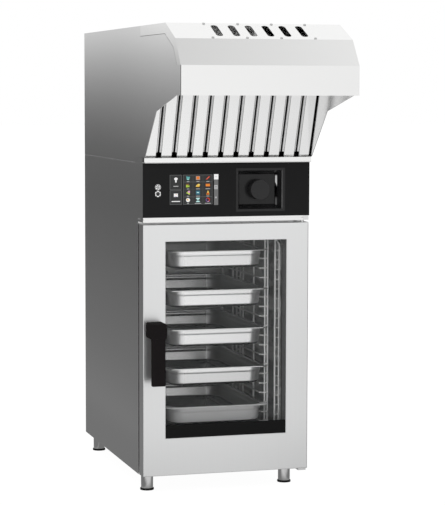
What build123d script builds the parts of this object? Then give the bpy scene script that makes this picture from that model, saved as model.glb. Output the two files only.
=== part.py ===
from build123d import *
import math
import os

# A slim combi oven for gastronorm pans, with a condensing hood on top. All sizes are millimetres.
# +Z is up, the door faces -Y and +X is to the right as seen from the front. The origin is on the
# floor under the middle of the whole outline, so the hood's reach and the rear fittings count.

os.makedirs("parts", exist_ok=True)

# Sheet metal and clearances
SHEET = 1.5
RUNNING_GAP = 0.05
BODY_GAP = 0.3
SEAM_GAP = 0.5

# Gastronorm pans and the levels that carry them
PAN_WIDTH = 325.0
PAN_LENGTH = 530.0
PAN_DEPTH = 56.0
PAN_COUNT = 5
LEVEL_PITCH = 60.0
LEVEL_COUNT = 10
PAN_LEVEL_STEP = 2
PAN_FIRST_RAIL = 2
PAN_WALL = 1.2
PAN_RIM_CORNER = 20.0
PAN_FLANGE = 13.0
PAN_BODY_CORNER = 46.0
PAN_SHOULDER_DROP = 17.0
PAN_SHOULDER_STEP = 2.0
PAN_TAPER = 4.0
PAN_FOOT_FILLET = 12.0

# Room round the pans, from the pan outwards
RACK_SPACE = 34.5
LINER_WALL = 1.5
SIDE_INSULATION = 40.0
SIDE_AIR_GAP = 19.5
CAVITY_HEADROOM = 35.0
CAVITY_CORNER = 18.0
UNDER_CAVITY = 100.0
OVER_CAVITY = 30.5
TOP_INSULATION = 28.0
PAN_SETBACK = 27.5
BAFFLE_GAP = 12.0
FAN_CHAMBER = 62.0
REAR_INSULATION = 25.0
MOTOR_SPACE = 84.5

# Door
DOOR_DEPTH = 45.0
GASKET_ROOM = 11.0
DOOR_TOP_GAP = 7.0
DOOR_BOTTOM_GAP = 1.5
DOOR_EDGE_RADIUS = 3.0
WINDOW_STILE = 70.25
WINDOW_TOP_RAIL = 51.5
WINDOW_BOTTOM_RAIL = 113.0
WINDOW_CORNER = 1.0
WINDOW_BEVEL = 1.0
GLASS_THICKNESS = 4.0
SPACER_WIDTH = 8.0
GASKET_INSIDE = 6.0
GASKET_OUTSIDE = 13.0
GLASS_OVER_GASKET = 4.0

# Door hinge, with one pin above and one below
HINGE_INSET = 14.0
HINGE_SETBACK = 22.0
HINGE_PIN_RADIUS = 5.0
HINGE_PIN_REACH = 18.0
HINGE_PLATE = 6.0
HINGE_PLATE_HALF = 12.0
HINGE_PLATE_TAIL = 28.0
HINGE_BLOCK_WIDTH = 18.5
HINGE_BLOCK_PROUD = 3.0
HINGE_SOCKET_DEPTH = 20.0

# Door handle and latch
HANDLE_INSET = 34.0
HANDLE_HEIGHT = 446.0
BOSS_WIDTH = 49.0
BOSS_HEIGHT = 46.0
BOSS_REACH = 64.0
BOSS_CORNER = 5.0
ROSE_THICKNESS = 4.0
GRIP_WIDTH = 41.0
GRIP_THICKNESS = 19.0
GRIP_LENGTH = 163.0
GRIP_CORNER = 5.0
SPINDLE_RADIUS = 5.0
SPINDLE_SEAT = 26.0
LATCH_RADIUS = 22.0
LATCH_THICKNESS = 4.0
LATCH_SETBACK = 30.0
LATCH_SLOT_RADIUS = 15.0
LATCH_SLOT_WIDTH = 9.0
KEEPER_PIN_RADIUS = 3.0
KEEPER_HOLE_RADIUS = 8.0
KEEPER_BASE = 3.0

# Control head above the door
FASCIA_HEIGHT = 162.5
FASCIA_THICKNESS = 5.0
LIP_HEIGHT = 14.0
LIP_UPPER = 4.7
LIP_LOWER = 7.9
LIP_WALL = 1.5
SCREEN_WIDTH = 152.0
SCREEN_HEIGHT = 92.0
SCREEN_DEPTH = 15.0
SCREEN_PROUD = 0.3
SCREEN_INSET = 80.4
SCREEN_LIFT = 35.5
SCREEN_FIT = 0.2
RECESS_WIDTH = 140.0
RECESS_HEIGHT = 116.0
RECESS_DEPTH = 32.0
RECESS_TAPER = 13.0
RECESS_WALL = 2.0
RECESS_FRAME = 7.0
RECESS_FRAME_PROUD = 0.8
RECESS_INSET = 155.5
RECESS_LIFT = 79.5
KNOB_RADIUS = 30.0
KNOB_LENGTH = 29.0
KNOB_PROUD = 0.8
KNOB_EDGE = 1.2
KNOB_BORE_DEPTH = 16.0
SHAFT_RADIUS = 3.0
ENCODER_SIZE = 36.0
ENCODER_DEPTH = 14.0
BOARD_GAP = 4.0
BOARD_THICKNESS = 1.6
POST_RADIUS = 3.0

# Racks of round wire
WIRE_RADIUS = 2.5
UPRIGHT_RADIUS = 3.0
RUNG_RADIUS = 1.75
RAIL_PITCH = 30.0
FIRST_RAIL_LIFT = 27.3
RACK_OVERRUN = 9.0
RACK_SETBACK = 62.0
UPRIGHT_STEP = 9.0
LADDER_CORNER = 20.0
RAIL_INSET = 9.0
UPRIGHT_CLEARANCE = 2.0
UPRIGHT_SPACING = 115.0
UPRIGHT_COUNT = 4
LADDER_WIDTH = 13.0
RAIL_BEND = 3.0

# Fans, heaters and motors
FAN_OFFSET = 150.0
FAN_RADIUS = 110.0
FAN_INNER_RADIUS = 80.0
FAN_WIDTH = 45.0
FAN_BACK_GAP = 4.5
FAN_PLATE = 3.0
FAN_BLADE = 2.0
FAN_BLADES = 18
HUB_RADIUS = 20.0
FAN_SHAFT_RADIUS = 7.0
FAN_SHAFT_REACH = 70.0
SHAFT_HOLE_RADIUS = 12.0
MOTOR_RADIUS = 58.0
MOTOR_LENGTH = 66.0
MOTOR_FLANGE_RADIUS = 70.0
MOTOR_FLANGE = 4.0
HEATER_RADIUS = 128.0
HEATER_TUBE = 4.0
HEATER_TURNS = 3
HEATER_PITCH = 15.0
HEATER_STAY = 6.0
BAFFLE_SIDE_GAP = 22.0
BAFFLE_END_GAP = 12.0
BAFFLE_POST_RADIUS = 5.0
INTAKE_RADIUS = 75.0
INTAKE_SLOT = 8.0
INTAKE_PITCH = 16.0

# Water, steam, drain and vent
STEAM_RADIUS = 5.0
STEAM_REACH = 25.0
DRAIN_RADIUS = 20.0
DRAIN_WALL = 2.0
DRAIN_HEIGHT = 38.0
DRAIN_SETBACK = 200.0
FITTING_REACH = 26.0
FITTING_HEIGHT = 62.0
SPIGOT_LENGTH = 24.0
SPIGOT_NECK = 0.5
INLET_RADIUS = 13.2
INLET_BORE = 9.0
INLET_X = 180.0
INLET_SPACING = 55.0
VALVE_SIZE = 34.0
VALVE_DEPTH = 40.0
GLAND_RADIUS = 13.0
GLAND_FLANGE = 18.0
GLAND_BORE = 7.0
GLAND_REACH = 22.0
VENT_RADIUS = 25.0
VENT_WALL = 1.5
VENT_X = 150.0
VENT_SETBACK = 590.0
VENT_RISE = 55.0
LOUVRE_COUNT = 9
LOUVRE_PITCH = 14.0
LOUVRE_LENGTH = 120.0
LOUVRE_WIDTH = 5.0

# Legs and feet
FOOT_HEIGHT = 59.0
LEG_RADIUS = 18.5
LEG_WALL = 2.0
LEG_PLUG = 10.0
LEG_SIDE_INSET = 39.5
LEG_FRONT_INSET = 108.0
LEG_BACK_INSET = 28.0
CAP_RADIUS = 21.0
CAP_HEIGHT = 6.0
CAP_FILLET = 1.5
STEM_RADIUS = 8.0
STEM_LENGTH = 36.0

# Hood
HOOD_HEIGHT = 403.0
HOOD_OVERHANG = 430.0
UPPER_SLOPE_RUN = 107.0
UPPER_SLOPE_DROP = 46.0
LOWER_SLOPE_RUN = 56.5
LOWER_SLOPE_DROP = 74.0
HOOD_FASCIA_HEIGHT = 83.0
HOOD_LIP = 44.0
BREAK_FORWARD = 165.0
BREAK_HEIGHT = 154.0
CHEEK_FORWARD = 28.0
COVER_SEAM_SETBACK = 26.0
COVER_RETURN = 30.0
COVER_JOINT = 1.2
SEAM_BEVEL = 1.1
TAB_SETBACK = 94.0
TAB_HEIGHT = 15.5
TRIM_FORWARD = 21.0
TRIM_DEPTH = 9.0
TRIM_GROOVE = 1.2
SLOT_COUNT = 6
SLOT_PITCH = 50.0
SLOT_LENGTH = 81.0
SLOT_WIDTH = 20.0
SLOT_CENTRE = 57.0
SCREW_PITCH = 100.0
SCREWS_PER_ROW = 4
SCREW_ROWS = (6.0, 110.0)
SCREW_HEAD_RADIUS = 4.0
SCREW_HEAD = 2.0
SCREW_RADIUS = 2.0
SCREW_LENGTH = 10.0
CEILING_HEIGHT = 298.0
PARTITION_SETBACK = 80.0

# Baffle filter, made upright and then leaned forward
FILTER_LEAN = 21.0
FILTER_SIDE_GAP = 4.0
FILTER_LENGTH = 290.0
FILTER_DEPTH = 25.0
FILTER_FOOT_FORWARD = 6.0
FILTER_RAIL = 10.0
BAFFLE_COUNT = 10
BAFFLE_PITCH = 47.6
BAFFLE_FLAT = 32.0
BAFFLE_SLOT = 4.0
BAFFLE_SHEET = 1.2
BAFFLE_LIP_DEPTH = 5.0
BAFFLE_NOTCH = 31.0
CHANNEL_COVER = 28.0
CHANNEL_GAP = 0.6

# Hood blower
BLOWER_SETBACK = 130.0
BLOWER_DEPTH = 90.0
BLOWER_RADIUS = 118.0
BLOWER_LIFT = 150.0
BLOWER_WALL = 1.5
BLOWER_INLET = 62.0
WHEEL_RADIUS = 85.0
WHEEL_INNER_RADIUS = 66.0
WHEEL_WIDTH = 60.0
WHEEL_BLADES = 24
WHEEL_SHAFT_RADIUS = 5.0
BLOWER_MOTOR_RADIUS = 50.0
BLOWER_MOTOR_LENGTH = 75.0
DUCT_WIDTH = 120.0
DUCT_HEIGHT = 70.0

# Overall sizes that follow from the pans and the rooms round them
HALF = PAN_WIDTH / 2 + RACK_SPACE + LINER_WALL + SIDE_INSULATION + SIDE_AIR_GAP + SHEET
INNER = HALF - SHEET
CAVITY_HALF = PAN_WIDTH / 2 + RACK_SPACE
CAVITY_HEIGHT = LEVEL_COUNT * LEVEL_PITCH + CAVITY_HEADROOM
FRONT_SETBACK = DOOR_DEPTH + GASKET_ROOM
CAVITY_DEPTH = PAN_SETBACK + PAN_LENGTH + BAFFLE_GAP + SHEET + FAN_CHAMBER
CABINET_DEPTH = (
    FRONT_SETBACK + SHEET + CAVITY_DEPTH + LINER_WALL + REAR_INSULATION + MOTOR_SPACE + SHEET
)

# Heights
BASE_Z = FOOT_HEIGHT
CAVITY_LOW = BASE_Z + UNDER_CAVITY
CAVITY_HIGH = CAVITY_LOW + CAVITY_HEIGHT
HEAD_LOW = CAVITY_HIGH + OVER_CAVITY
GLASS_LOW = HEAD_LOW + LIP_HEIGHT
TOP_Z = GLASS_LOW + FASCIA_HEIGHT
HOOD_TOP = TOP_Z + HOOD_HEIGHT
DOOR_LOW = BASE_Z + DOOR_BOTTOM_GAP
DOOR_HIGH = HEAD_LOW - DOOR_TOP_GAP
WINDOW_LOW = DOOR_LOW + WINDOW_BOTTOM_RAIL
WINDOW_HIGH = DOOR_HIGH - WINDOW_TOP_RAIL
WINDOW_HALF = HALF - WINDOW_STILE
HANDLE_Z = BASE_Z + HANDLE_HEIGHT
CEILING_Z = TOP_Z + CEILING_HEIGHT

# Depths, with the door's face as the starting plane
DOOR_Y = -(CABINET_DEPTH + FITTING_REACH - HOOD_OVERHANG) / 2
DOOR_BACK = DOOR_Y + DOOR_DEPTH
FRONT_Y = DOOR_Y + FRONT_SETBACK
LINER_FRONT = FRONT_Y + SHEET
LINER_BACK = LINER_FRONT + CAVITY_DEPTH
PAN_FRONT = LINER_FRONT + PAN_SETBACK
BAFFLE_Y = PAN_FRONT + PAN_LENGTH + BAFFLE_GAP
INSULATION_BACK = LINER_BACK + LINER_WALL + REAR_INSULATION
BACK_Y = DOOR_Y + CABINET_DEPTH
HOOD_FRONT = DOOR_Y - HOOD_OVERHANG

# Shared centres
HINGE_X = HALF - HINGE_INSET
HINGE_Y = DOOR_Y + HINGE_SETBACK
HANDLE_X = -HALF + HANDLE_INSET
KEEPER_X = HANDLE_X - LATCH_SLOT_RADIUS
RECESS_X = HALF - RECESS_INSET
RECESS_Z = GLASS_LOW + RECESS_LIFT
SCREEN_X = (-HALF + SCREEN_INSET, -HALF + SCREEN_INSET + SCREEN_WIDTH)
SCREEN_Z = (GLASS_LOW + SCREEN_LIFT, GLASS_LOW + SCREEN_LIFT + SCREEN_HEIGHT)
FAN_HEIGHTS = (CAVITY_LOW + CAVITY_HEIGHT / 2 + FAN_OFFSET, CAVITY_LOW + CAVITY_HEIGHT / 2 - FAN_OFFSET)
FIRST_RAIL = CAVITY_LOW + FIRST_RAIL_LIFT
RAIL_COUNT = LEVEL_COUNT * round(LEVEL_PITCH / RAIL_PITCH)
DRAIN_Y = LINER_FRONT + DRAIN_SETBACK
VENT_Y = DOOR_Y + VENT_SETBACK
LEG_SPOTS = [
    (-HALF + LEG_SIDE_INSET, DOOR_Y + LEG_FRONT_INSET),
    (HALF - LEG_SIDE_INSET, DOOR_Y + LEG_FRONT_INSET),
    (-HALF + LEG_SIDE_INSET, BACK_Y - LEG_BACK_INSET),
    (HALF - LEG_SIDE_INSET, BACK_Y - LEG_BACK_INSET),
]
GASKET_X = (CAVITY_HALF - GASKET_INSIDE, CAVITY_HALF + GASKET_OUTSIDE)
INNER_GLASS_HALF = GASKET_X[1] + GLASS_OVER_GASKET
INNER_GLASS_Z = (
    CAVITY_LOW - GASKET_OUTSIDE - GLASS_OVER_GASKET,
    CAVITY_HIGH + GASKET_OUTSIDE + GLASS_OVER_GASKET,
)


def block(x, y, z):
    """A box between a low and a high value on each axis."""
    spans = (x, y, z)
    sizes = [high - low for low, high in spans]
    middle = [(low + high) / 2 for low, high in spans]
    return Pos(*middle) * Box(*sizes)


def rod_x(x, y, z, radius):
    """A round bar along X, x being its two ends."""
    return Pos((x[0] + x[1]) / 2, y, z) * Rot(0, 90, 0) * Cylinder(radius, x[1] - x[0])


def rod_y(x, y, z, radius):
    """A round bar along Y, y being its two ends."""
    return Pos(x, (y[0] + y[1]) / 2, z) * Rot(90, 0, 0) * Cylinder(radius, y[1] - y[0])


def rod_z(x, y, z, radius):
    """A round bar along Z, z being its two ends."""
    return Pos(x, y, (z[0] + z[1]) / 2) * Cylinder(radius, z[1] - z[0])


def facing(x, y, z):
    """A sketch plane at a point, looking along +Y, with its width along X."""
    return Plane(origin=(x, y, z), x_dir=(1, 0, 0), z_dir=(0, 1, 0))


def rounded_block(x, y, z, radius):
    """A block along Y whose four long edges are rounded."""
    outline = RectangleRounded(x[1] - x[0], z[1] - z[0], radius)
    plane = facing((x[0] + x[1]) / 2, y[0], (z[0] + z[1]) / 2)
    return extrude(plane * outline, amount=y[1] - y[0])


def side_plate(points, x):
    """A flat plate across X with its outline in the Y and Z directions."""
    outline = Polygon(*points, align=None)
    return extrude(Plane.YZ.offset(x[0]) * outline, amount=x[1] - x[0], dir=(1, 0, 0))


def inset_line(points, distance):
    """A broken line moved sideways to its left by a distance, with mitred corners."""
    moved = []
    for index, point in enumerate(points):
        before = points[max(index - 1, 0)]
        after = points[min(index + 1, len(points) - 1)]
        normals = []
        for start, end in ((before, point), (point, after)):
            length = math.dist(start, end)
            if length > 0:
                normals.append(((start[1] - end[1]) / length, (end[0] - start[0]) / length))
        across = [sum(normal[axis] for normal in normals) for axis in (0, 1)]
        scale = distance * len(normals) / (across[0] ** 2 + across[1] ** 2)
        moved.append((point[0] + across[0] * scale, point[1] + across[1] * scale))
    return moved


def slant(start, end, radius):
    """A round bar between any two points."""
    way = Vector(*end) - Vector(*start)
    middle = (Vector(*start) + Vector(*end)) / 2
    return Plane(origin=middle, z_dir=way) * Cylinder(radius, way.length)


def group(solids):
    """Several separate solids that share one node."""
    return Compound(children=list(solids))


# Oven cabinet


def side_panel(side):
    """Outer side sheet with the cheek beside the control head and the tab that the hood drops over."""
    points = [
        (BACK_Y, BASE_Z),
        (FRONT_Y, BASE_Z),
        (FRONT_Y, GLASS_LOW),
        (DOOR_Y, GLASS_LOW),
        (DOOR_Y, TOP_Z + TAB_HEIGHT),
        (DOOR_Y + TAB_SETBACK, TOP_Z + TAB_HEIGHT),
        (DOOR_Y + TAB_SETBACK, TOP_Z),
        (BACK_Y, TOP_Z),
    ]
    x = (INNER, HALF) if side > 0 else (-HALF, -INNER)
    sheet = side_plate(points, x)
    level_edges = sheet.edges().filter_by(Axis.Y)
    top_edges = level_edges.filter_by(lambda edge: abs(edge.center().Z - TOP_Z) < SEAM_GAP)
    outer_edge = top_edges.sort_by(lambda edge: abs(edge.center().X))[-1]
    return chamfer(outer_edge, SEAM_BEVEL)


def inlet_spots():
    """Where the two water inlets and the mains gland leave the rear panel."""
    return [-INLET_X + index * INLET_SPACING for index in range(3)]


def rear_panel():
    panel = block((-INNER, INNER), (BACK_Y - SHEET, BACK_Y), (BASE_Z, TOP_Z))
    hole = (BACK_Y - 2 * SHEET, BACK_Y + SHEET)
    panel -= rod_y(0, hole, BASE_Z + DRAIN_HEIGHT, DRAIN_RADIUS + SEAM_GAP)
    for x in inlet_spots():
        panel -= rod_y(x, hole, BASE_Z + FITTING_HEIGHT, INLET_RADIUS + SEAM_GAP)
    for side in (-1, 1):
        for row in range(LOUVRE_COUNT):
            z = TOP_Z - FASCIA_HEIGHT + row * LOUVRE_PITCH
            slot = facing(side * HALF / 2, BACK_Y - 2 * SHEET, z) * SlotOverall(LOUVRE_LENGTH, LOUVRE_WIDTH)
            panel -= extrude(slot, amount=3 * SHEET)
    return panel


def base_panel():
    return block((-INNER, INNER), (FRONT_Y + SHEET, BACK_Y - SHEET), (BASE_Z, BASE_Z + SHEET))


def top_panel():
    panel = block((-INNER, INNER), (DOOR_Y, BACK_Y - SHEET), (TOP_Z - SHEET, TOP_Z))
    return panel - rod_z(VENT_X, VENT_Y, (TOP_Z - 2 * SHEET, TOP_Z + SHEET), VENT_RADIUS + SEAM_GAP)


def front_frame():
    """Sheet round the cavity's mouth, which the gasket sits on."""
    sheet = block((-INNER, INNER), (FRONT_Y, FRONT_Y + SHEET), (BASE_Z, GLASS_LOW))
    mouth = rounded_block(
        (-CAVITY_HALF, CAVITY_HALF), (FRONT_Y - SHEET, FRONT_Y + 2 * SHEET),
        (CAVITY_LOW, CAVITY_HIGH), CAVITY_CORNER,
    )
    return sheet - mouth


def cavity_liner():
    """Welded chamber, open at the front, with round corners."""
    outer = rounded_block(
        (-CAVITY_HALF - LINER_WALL, CAVITY_HALF + LINER_WALL), (LINER_FRONT, LINER_BACK + LINER_WALL),
        (CAVITY_LOW - LINER_WALL, CAVITY_HIGH + LINER_WALL), CAVITY_CORNER + LINER_WALL,
    )
    inner = rounded_block(
        (-CAVITY_HALF, CAVITY_HALF), (LINER_FRONT - SHEET, LINER_BACK),
        (CAVITY_LOW, CAVITY_HIGH), CAVITY_CORNER,
    )
    liner = outer - inner
    through = (LINER_BACK - LINER_WALL, LINER_BACK + 2 * LINER_WALL)
    for z in FAN_HEIGHTS:
        liner -= rod_y(0, through, z, SHAFT_HOLE_RADIUS)
    liner -= rod_y(0, through, CAVITY_LOW + CAVITY_HEIGHT / 2, STEAM_RADIUS + SEAM_GAP / 2)
    floor = (CAVITY_LOW - 2 * LINER_WALL, CAVITY_LOW + LINER_WALL)
    liner -= rod_z(0, DRAIN_Y, floor, DRAIN_RADIUS - DRAIN_WALL)
    liner -= rod_z(
        VENT_X, VENT_Y, (CAVITY_HIGH - LINER_WALL, CAVITY_HIGH + 2 * LINER_WALL), VENT_RADIUS - VENT_WALL
    )
    return liner


def insulation():
    """Mineral wool jacket round the liner."""
    wall = CAVITY_HALF + LINER_WALL
    low = CAVITY_LOW - LINER_WALL
    high = CAVITY_HIGH + LINER_WALL
    jacket = block(
        (-wall - SIDE_INSULATION, wall + SIDE_INSULATION), (LINER_FRONT, INSULATION_BACK),
        (low - TOP_INSULATION, high + TOP_INSULATION),
    )
    jacket -= rounded_block(
        (-wall, wall), (LINER_FRONT - SHEET, LINER_BACK + LINER_WALL), (low, high), CAVITY_CORNER + LINER_WALL
    )
    rear = (LINER_BACK, INSULATION_BACK + SHEET)
    for z in FAN_HEIGHTS:
        jacket -= rod_y(0, rear, z, SHAFT_HOLE_RADIUS)
    jacket -= rod_y(0, rear, CAVITY_LOW + CAVITY_HEIGHT / 2, STEAM_RADIUS + SEAM_GAP / 2)
    jacket -= rod_z(0, DRAIN_Y, (low - TOP_INSULATION - SHEET, low + SHEET), DRAIN_RADIUS + SEAM_GAP)
    jacket -= rod_z(VENT_X, VENT_Y, (high - SHEET, high + TOP_INSULATION + SHEET), VENT_RADIUS + SEAM_GAP)
    return jacket


def door_gasket():
    """Silicone ring between the inner glass and the front frame."""
    y = (DOOR_BACK + BODY_GAP, FRONT_Y)
    outer = rounded_block(
        (-GASKET_X[1], GASKET_X[1]), y,
        (CAVITY_LOW - GASKET_OUTSIDE, CAVITY_HIGH + GASKET_OUTSIDE), CAVITY_CORNER + GASKET_OUTSIDE,
    )
    inner = rounded_block(
        (-GASKET_X[0], GASKET_X[0]), (y[0] - SHEET, y[1] + SHEET),
        (CAVITY_LOW + GASKET_INSIDE, CAVITY_HIGH - GASKET_INSIDE), CAVITY_CORNER - GASKET_INSIDE,
    )
    return outer - inner


# Racks and pans


def rail_height(index):
    return FIRST_RAIL + index * RAIL_PITCH


def rail(rail_x, front_x, back_x, z):
    """One rail: a straight wire with both ends bent outwards to the uprights."""
    front = PAN_FRONT + RACK_SETBACK
    back = PAN_FRONT + PAN_LENGTH
    bend = RAIL_BEND
    corner = Torus(bend, WIRE_RADIUS, major_angle=90)
    pieces = [
        rod_x((rail_x + bend, front_x), front, z, WIRE_RADIUS),
        Pos(rail_x + bend, front + bend, z) * Rot(0, 0, 180) * corner,
        rod_y(rail_x, (front + bend, back - bend), z, WIRE_RADIUS),
        Pos(rail_x + bend, back - bend, z) * Rot(0, 0, 90) * corner,
        rod_x((rail_x + bend, back_x), back, z, WIRE_RADIUS),
    ]
    return pieces[0].fuse(*pieces[1:])


def rack():
    """The right-hand wire rack: bent rails, uprights, and two short ladders that meet the wall."""
    rail_x = PAN_WIDTH / 2 - RAIL_INSET
    upright_x = PAN_WIDTH / 2 + UPRIGHT_CLEARANCE + UPRIGHT_RADIUS
    second_x = upright_x + UPRIGHT_STEP
    wall_x = CAVITY_HALF - SEAM_GAP - UPRIGHT_RADIUS
    ladder_x = wall_x - LADDER_WIDTH
    low = rail_height(0) - RACK_OVERRUN
    high = rail_height(RAIL_COUNT - 1) + RACK_OVERRUN
    front = PAN_FRONT + RACK_SETBACK
    back = PAN_FRONT + PAN_LENGTH
    pieces = [rail(rail_x, second_x, upright_x, rail_height(index)) for index in range(RAIL_COUNT)]
    spots = [front + index * UPRIGHT_SPACING for index in range(UPRIGHT_COUNT)]
    for y in spots + [back]:
        pieces.append(rod_z(upright_x, y, (low, high), UPRIGHT_RADIUS))
    pieces.append(rod_z(second_x, front, (low, high), UPRIGHT_RADIUS))
    ladders = (PAN_FRONT, spots[-1])
    for y in ladders:
        pieces.append(rod_z(ladder_x, y, (low, high), UPRIGHT_RADIUS))
        pieces.append(rod_z(wall_x, y, (low, high - LADDER_CORNER), UPRIGHT_RADIUS))
        pieces.append(slant((ladder_x, y, high - 1), (wall_x, y, high - LADDER_CORNER - 1), RUNG_RADIUS))
        for index in range(RAIL_COUNT - 1):
            pieces.append(rod_x((ladder_x, wall_x), y, rail_height(index), RUNG_RADIUS))
    for z in (low + UPRIGHT_RADIUS, high - UPRIGHT_RADIUS):
        pieces.append(rod_y(upright_x, (PAN_FRONT, back), z, RUNG_RADIUS))
        for y in ladders:
            pieces.append(rod_x((upright_x, ladder_x), y, z, RUNG_RADIUS))
    return pieces[0].fuse(*pieces[1:])


def pan():
    """A gastronorm pan on the second level: rim, stacking band, tapered body and round foot."""
    rim_low = rail_height(PAN_FIRST_RAIL) + WIRE_RADIUS
    rim_high = rim_low + PAN_WALL
    centre_y = PAN_FRONT + PAN_LENGTH / 2
    width = PAN_WIDTH - 2 * PAN_FLANGE
    length = PAN_LENGTH - 2 * PAN_FLANGE

    def level(z, inset, corner):
        plane = Plane(origin=(0, centre_y, z))
        return plane * RectangleRounded(width - 2 * inset, length - 2 * inset, corner)

    def body(wall):
        corner = PAN_BODY_CORNER - wall
        shoulder = rim_high - PAN_SHOULDER_DROP + wall
        band = extrude(level(shoulder, wall, corner), amount=rim_high - shoulder)
        upper = level(shoulder, PAN_SHOULDER_STEP + wall, corner)
        foot_inset = PAN_SHOULDER_STEP + PAN_TAPER + wall
        lower = level(rim_high - PAN_DEPTH + wall, foot_inset, corner - PAN_TAPER / 2)
        tub = loft([upper.face(), lower.face()])
        foot = tub.edges().group_by(Axis.Z)[0]
        return band + fillet(foot, PAN_FOOT_FILLET - wall)

    sheet = Plane(origin=(0, centre_y, rim_low)) * RectangleRounded(PAN_WIDTH, PAN_LENGTH, PAN_RIM_CORNER)
    return extrude(sheet, amount=PAN_WALL) + body(0) - body(PAN_WALL)


# Fans, heat and water


def fan_baffle():
    """Sheet in front of the fans, with slotted intakes, on four posts."""
    half = CAVITY_HALF - BAFFLE_SIDE_GAP
    z = (CAVITY_LOW + BAFFLE_END_GAP, CAVITY_HIGH - BAFFLE_END_GAP)
    sheet = block((-half, half), (BAFFLE_Y, BAFFLE_Y + SHEET), z)
    rows = int(INTAKE_RADIUS // INTAKE_PITCH)
    for fan_z in FAN_HEIGHTS:
        for row in range(-rows, rows + 1):
            offset = row * INTAKE_PITCH
            reach = math.sqrt(INTAKE_RADIUS**2 - offset**2)
            plane = facing(0, BAFFLE_Y - SHEET, fan_z + offset)
            sheet -= extrude(plane * SlotOverall(2 * reach, INTAKE_SLOT), amount=3 * SHEET)
    posts = [
        rod_y(side * (half - 2 * BAFFLE_POST_RADIUS), (BAFFLE_Y, LINER_BACK), level, BAFFLE_POST_RADIUS)
        for side in (-1, 1)
        for level in (z[0] + 2 * BAFFLE_POST_RADIUS, z[1] - 2 * BAFFLE_POST_RADIUS)
    ]
    for post in posts:
        sheet += post
    return sheet


def fan_wheel(z):
    """Radial fan wheel with its hub and shaft."""
    back = LINER_BACK - FAN_BACK_GAP
    front = back - FAN_WIDTH
    wheel = rod_y(0, (back - FAN_PLATE, back), z, FAN_RADIUS)
    wheel += rod_y(0, (front, back), z, HUB_RADIUS)
    ring = rod_y(0, (front, front + FAN_PLATE), z, FAN_RADIUS)
    wheel += ring - rod_y(0, (front - 1, front + FAN_PLATE + 1), z, FAN_INNER_RADIUS)
    blade = block(
        (FAN_INNER_RADIUS + FAN_BLADE, FAN_RADIUS - FAN_BLADE), (front + FAN_BLADE / 2, back - FAN_BLADE / 2),
        (-FAN_BLADE / 2, FAN_BLADE / 2),
    )
    for index in range(FAN_BLADES):
        wheel += Pos(0, 0, z) * Rot(0, index * 360 / FAN_BLADES, 0) * blade
    return wheel + rod_y(0, (front + HUB_RADIUS / 2, back + FAN_SHAFT_REACH), z, FAN_SHAFT_RADIUS)


def fan_motors():
    """Two motors behind the jacket, each bored for its fan's shaft."""
    motors = []
    for z in FAN_HEIGHTS:
        y = INSULATION_BACK
        motor = rod_y(0, (y, y + MOTOR_FLANGE), z, MOTOR_FLANGE_RADIUS)
        motor += rod_y(0, (y, y + MOTOR_LENGTH), z, MOTOR_RADIUS)
        motors.append(motor - rod_y(0, (y - 1, y + MOTOR_LENGTH + 1), z, FAN_SHAFT_RADIUS + RUNNING_GAP))
    return group(motors)


def heating_element():
    """Tube heaters in rings round each fan, held to the rear wall by four stays."""
    heaters = []
    front = LINER_BACK - FAN_BACK_GAP - FAN_WIDTH + FAN_PLATE + HEATER_TUBE
    reach = HEATER_RADIUS * math.sqrt(0.5)
    for z in FAN_HEIGHTS:
        heater = None
        for turn in range(HEATER_TURNS):
            ring = Pos(0, front + turn * HEATER_PITCH, z) * Rot(90, 0, 0) * Torus(HEATER_RADIUS, HEATER_TUBE)
            heater = ring if heater is None else heater + ring
        for side in (-1, 1):
            for rise in (-1, 1):
                x = (side * reach - HEATER_STAY, side * reach + HEATER_STAY)
                stay_z = (z + rise * reach - HEATER_STAY, z + rise * reach + HEATER_STAY)
                heater += block(x, (front - HEATER_STAY, LINER_BACK), stay_z)
        heaters.append(heater)
    return group(heaters)


def steam_pipe():
    z = CAVITY_LOW + CAVITY_HEIGHT / 2
    pipe = rod_y(0, (LINER_BACK - STEAM_REACH, BACK_Y - SHEET), z, STEAM_RADIUS)
    return pipe - rod_y(0, (LINER_BACK - STEAM_REACH - 1, BACK_Y - 2 * SHEET), z, STEAM_RADIUS - 1)


def cavity_drain():
    """Drain from the cavity's floor, down and back out through the rear panel."""
    z = BASE_Z + DRAIN_HEIGHT

    def run(radius, top, back):
        pipe = rod_z(0, DRAIN_Y, (z, top), radius)
        pipe += Pos(0, DRAIN_Y, z) * Sphere(radius)
        return pipe + rod_y(0, (DRAIN_Y, back), z, radius)

    top = CAVITY_LOW - LINER_WALL
    back = BACK_Y + FITTING_REACH
    pipe = run(DRAIN_RADIUS - SPIGOT_NECK, top, back)
    pipe += rod_y(0, (back - SPIGOT_LENGTH, back), z, DRAIN_RADIUS)
    return pipe - run(DRAIN_RADIUS - DRAIN_WALL, top + 1, back + 1)


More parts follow.
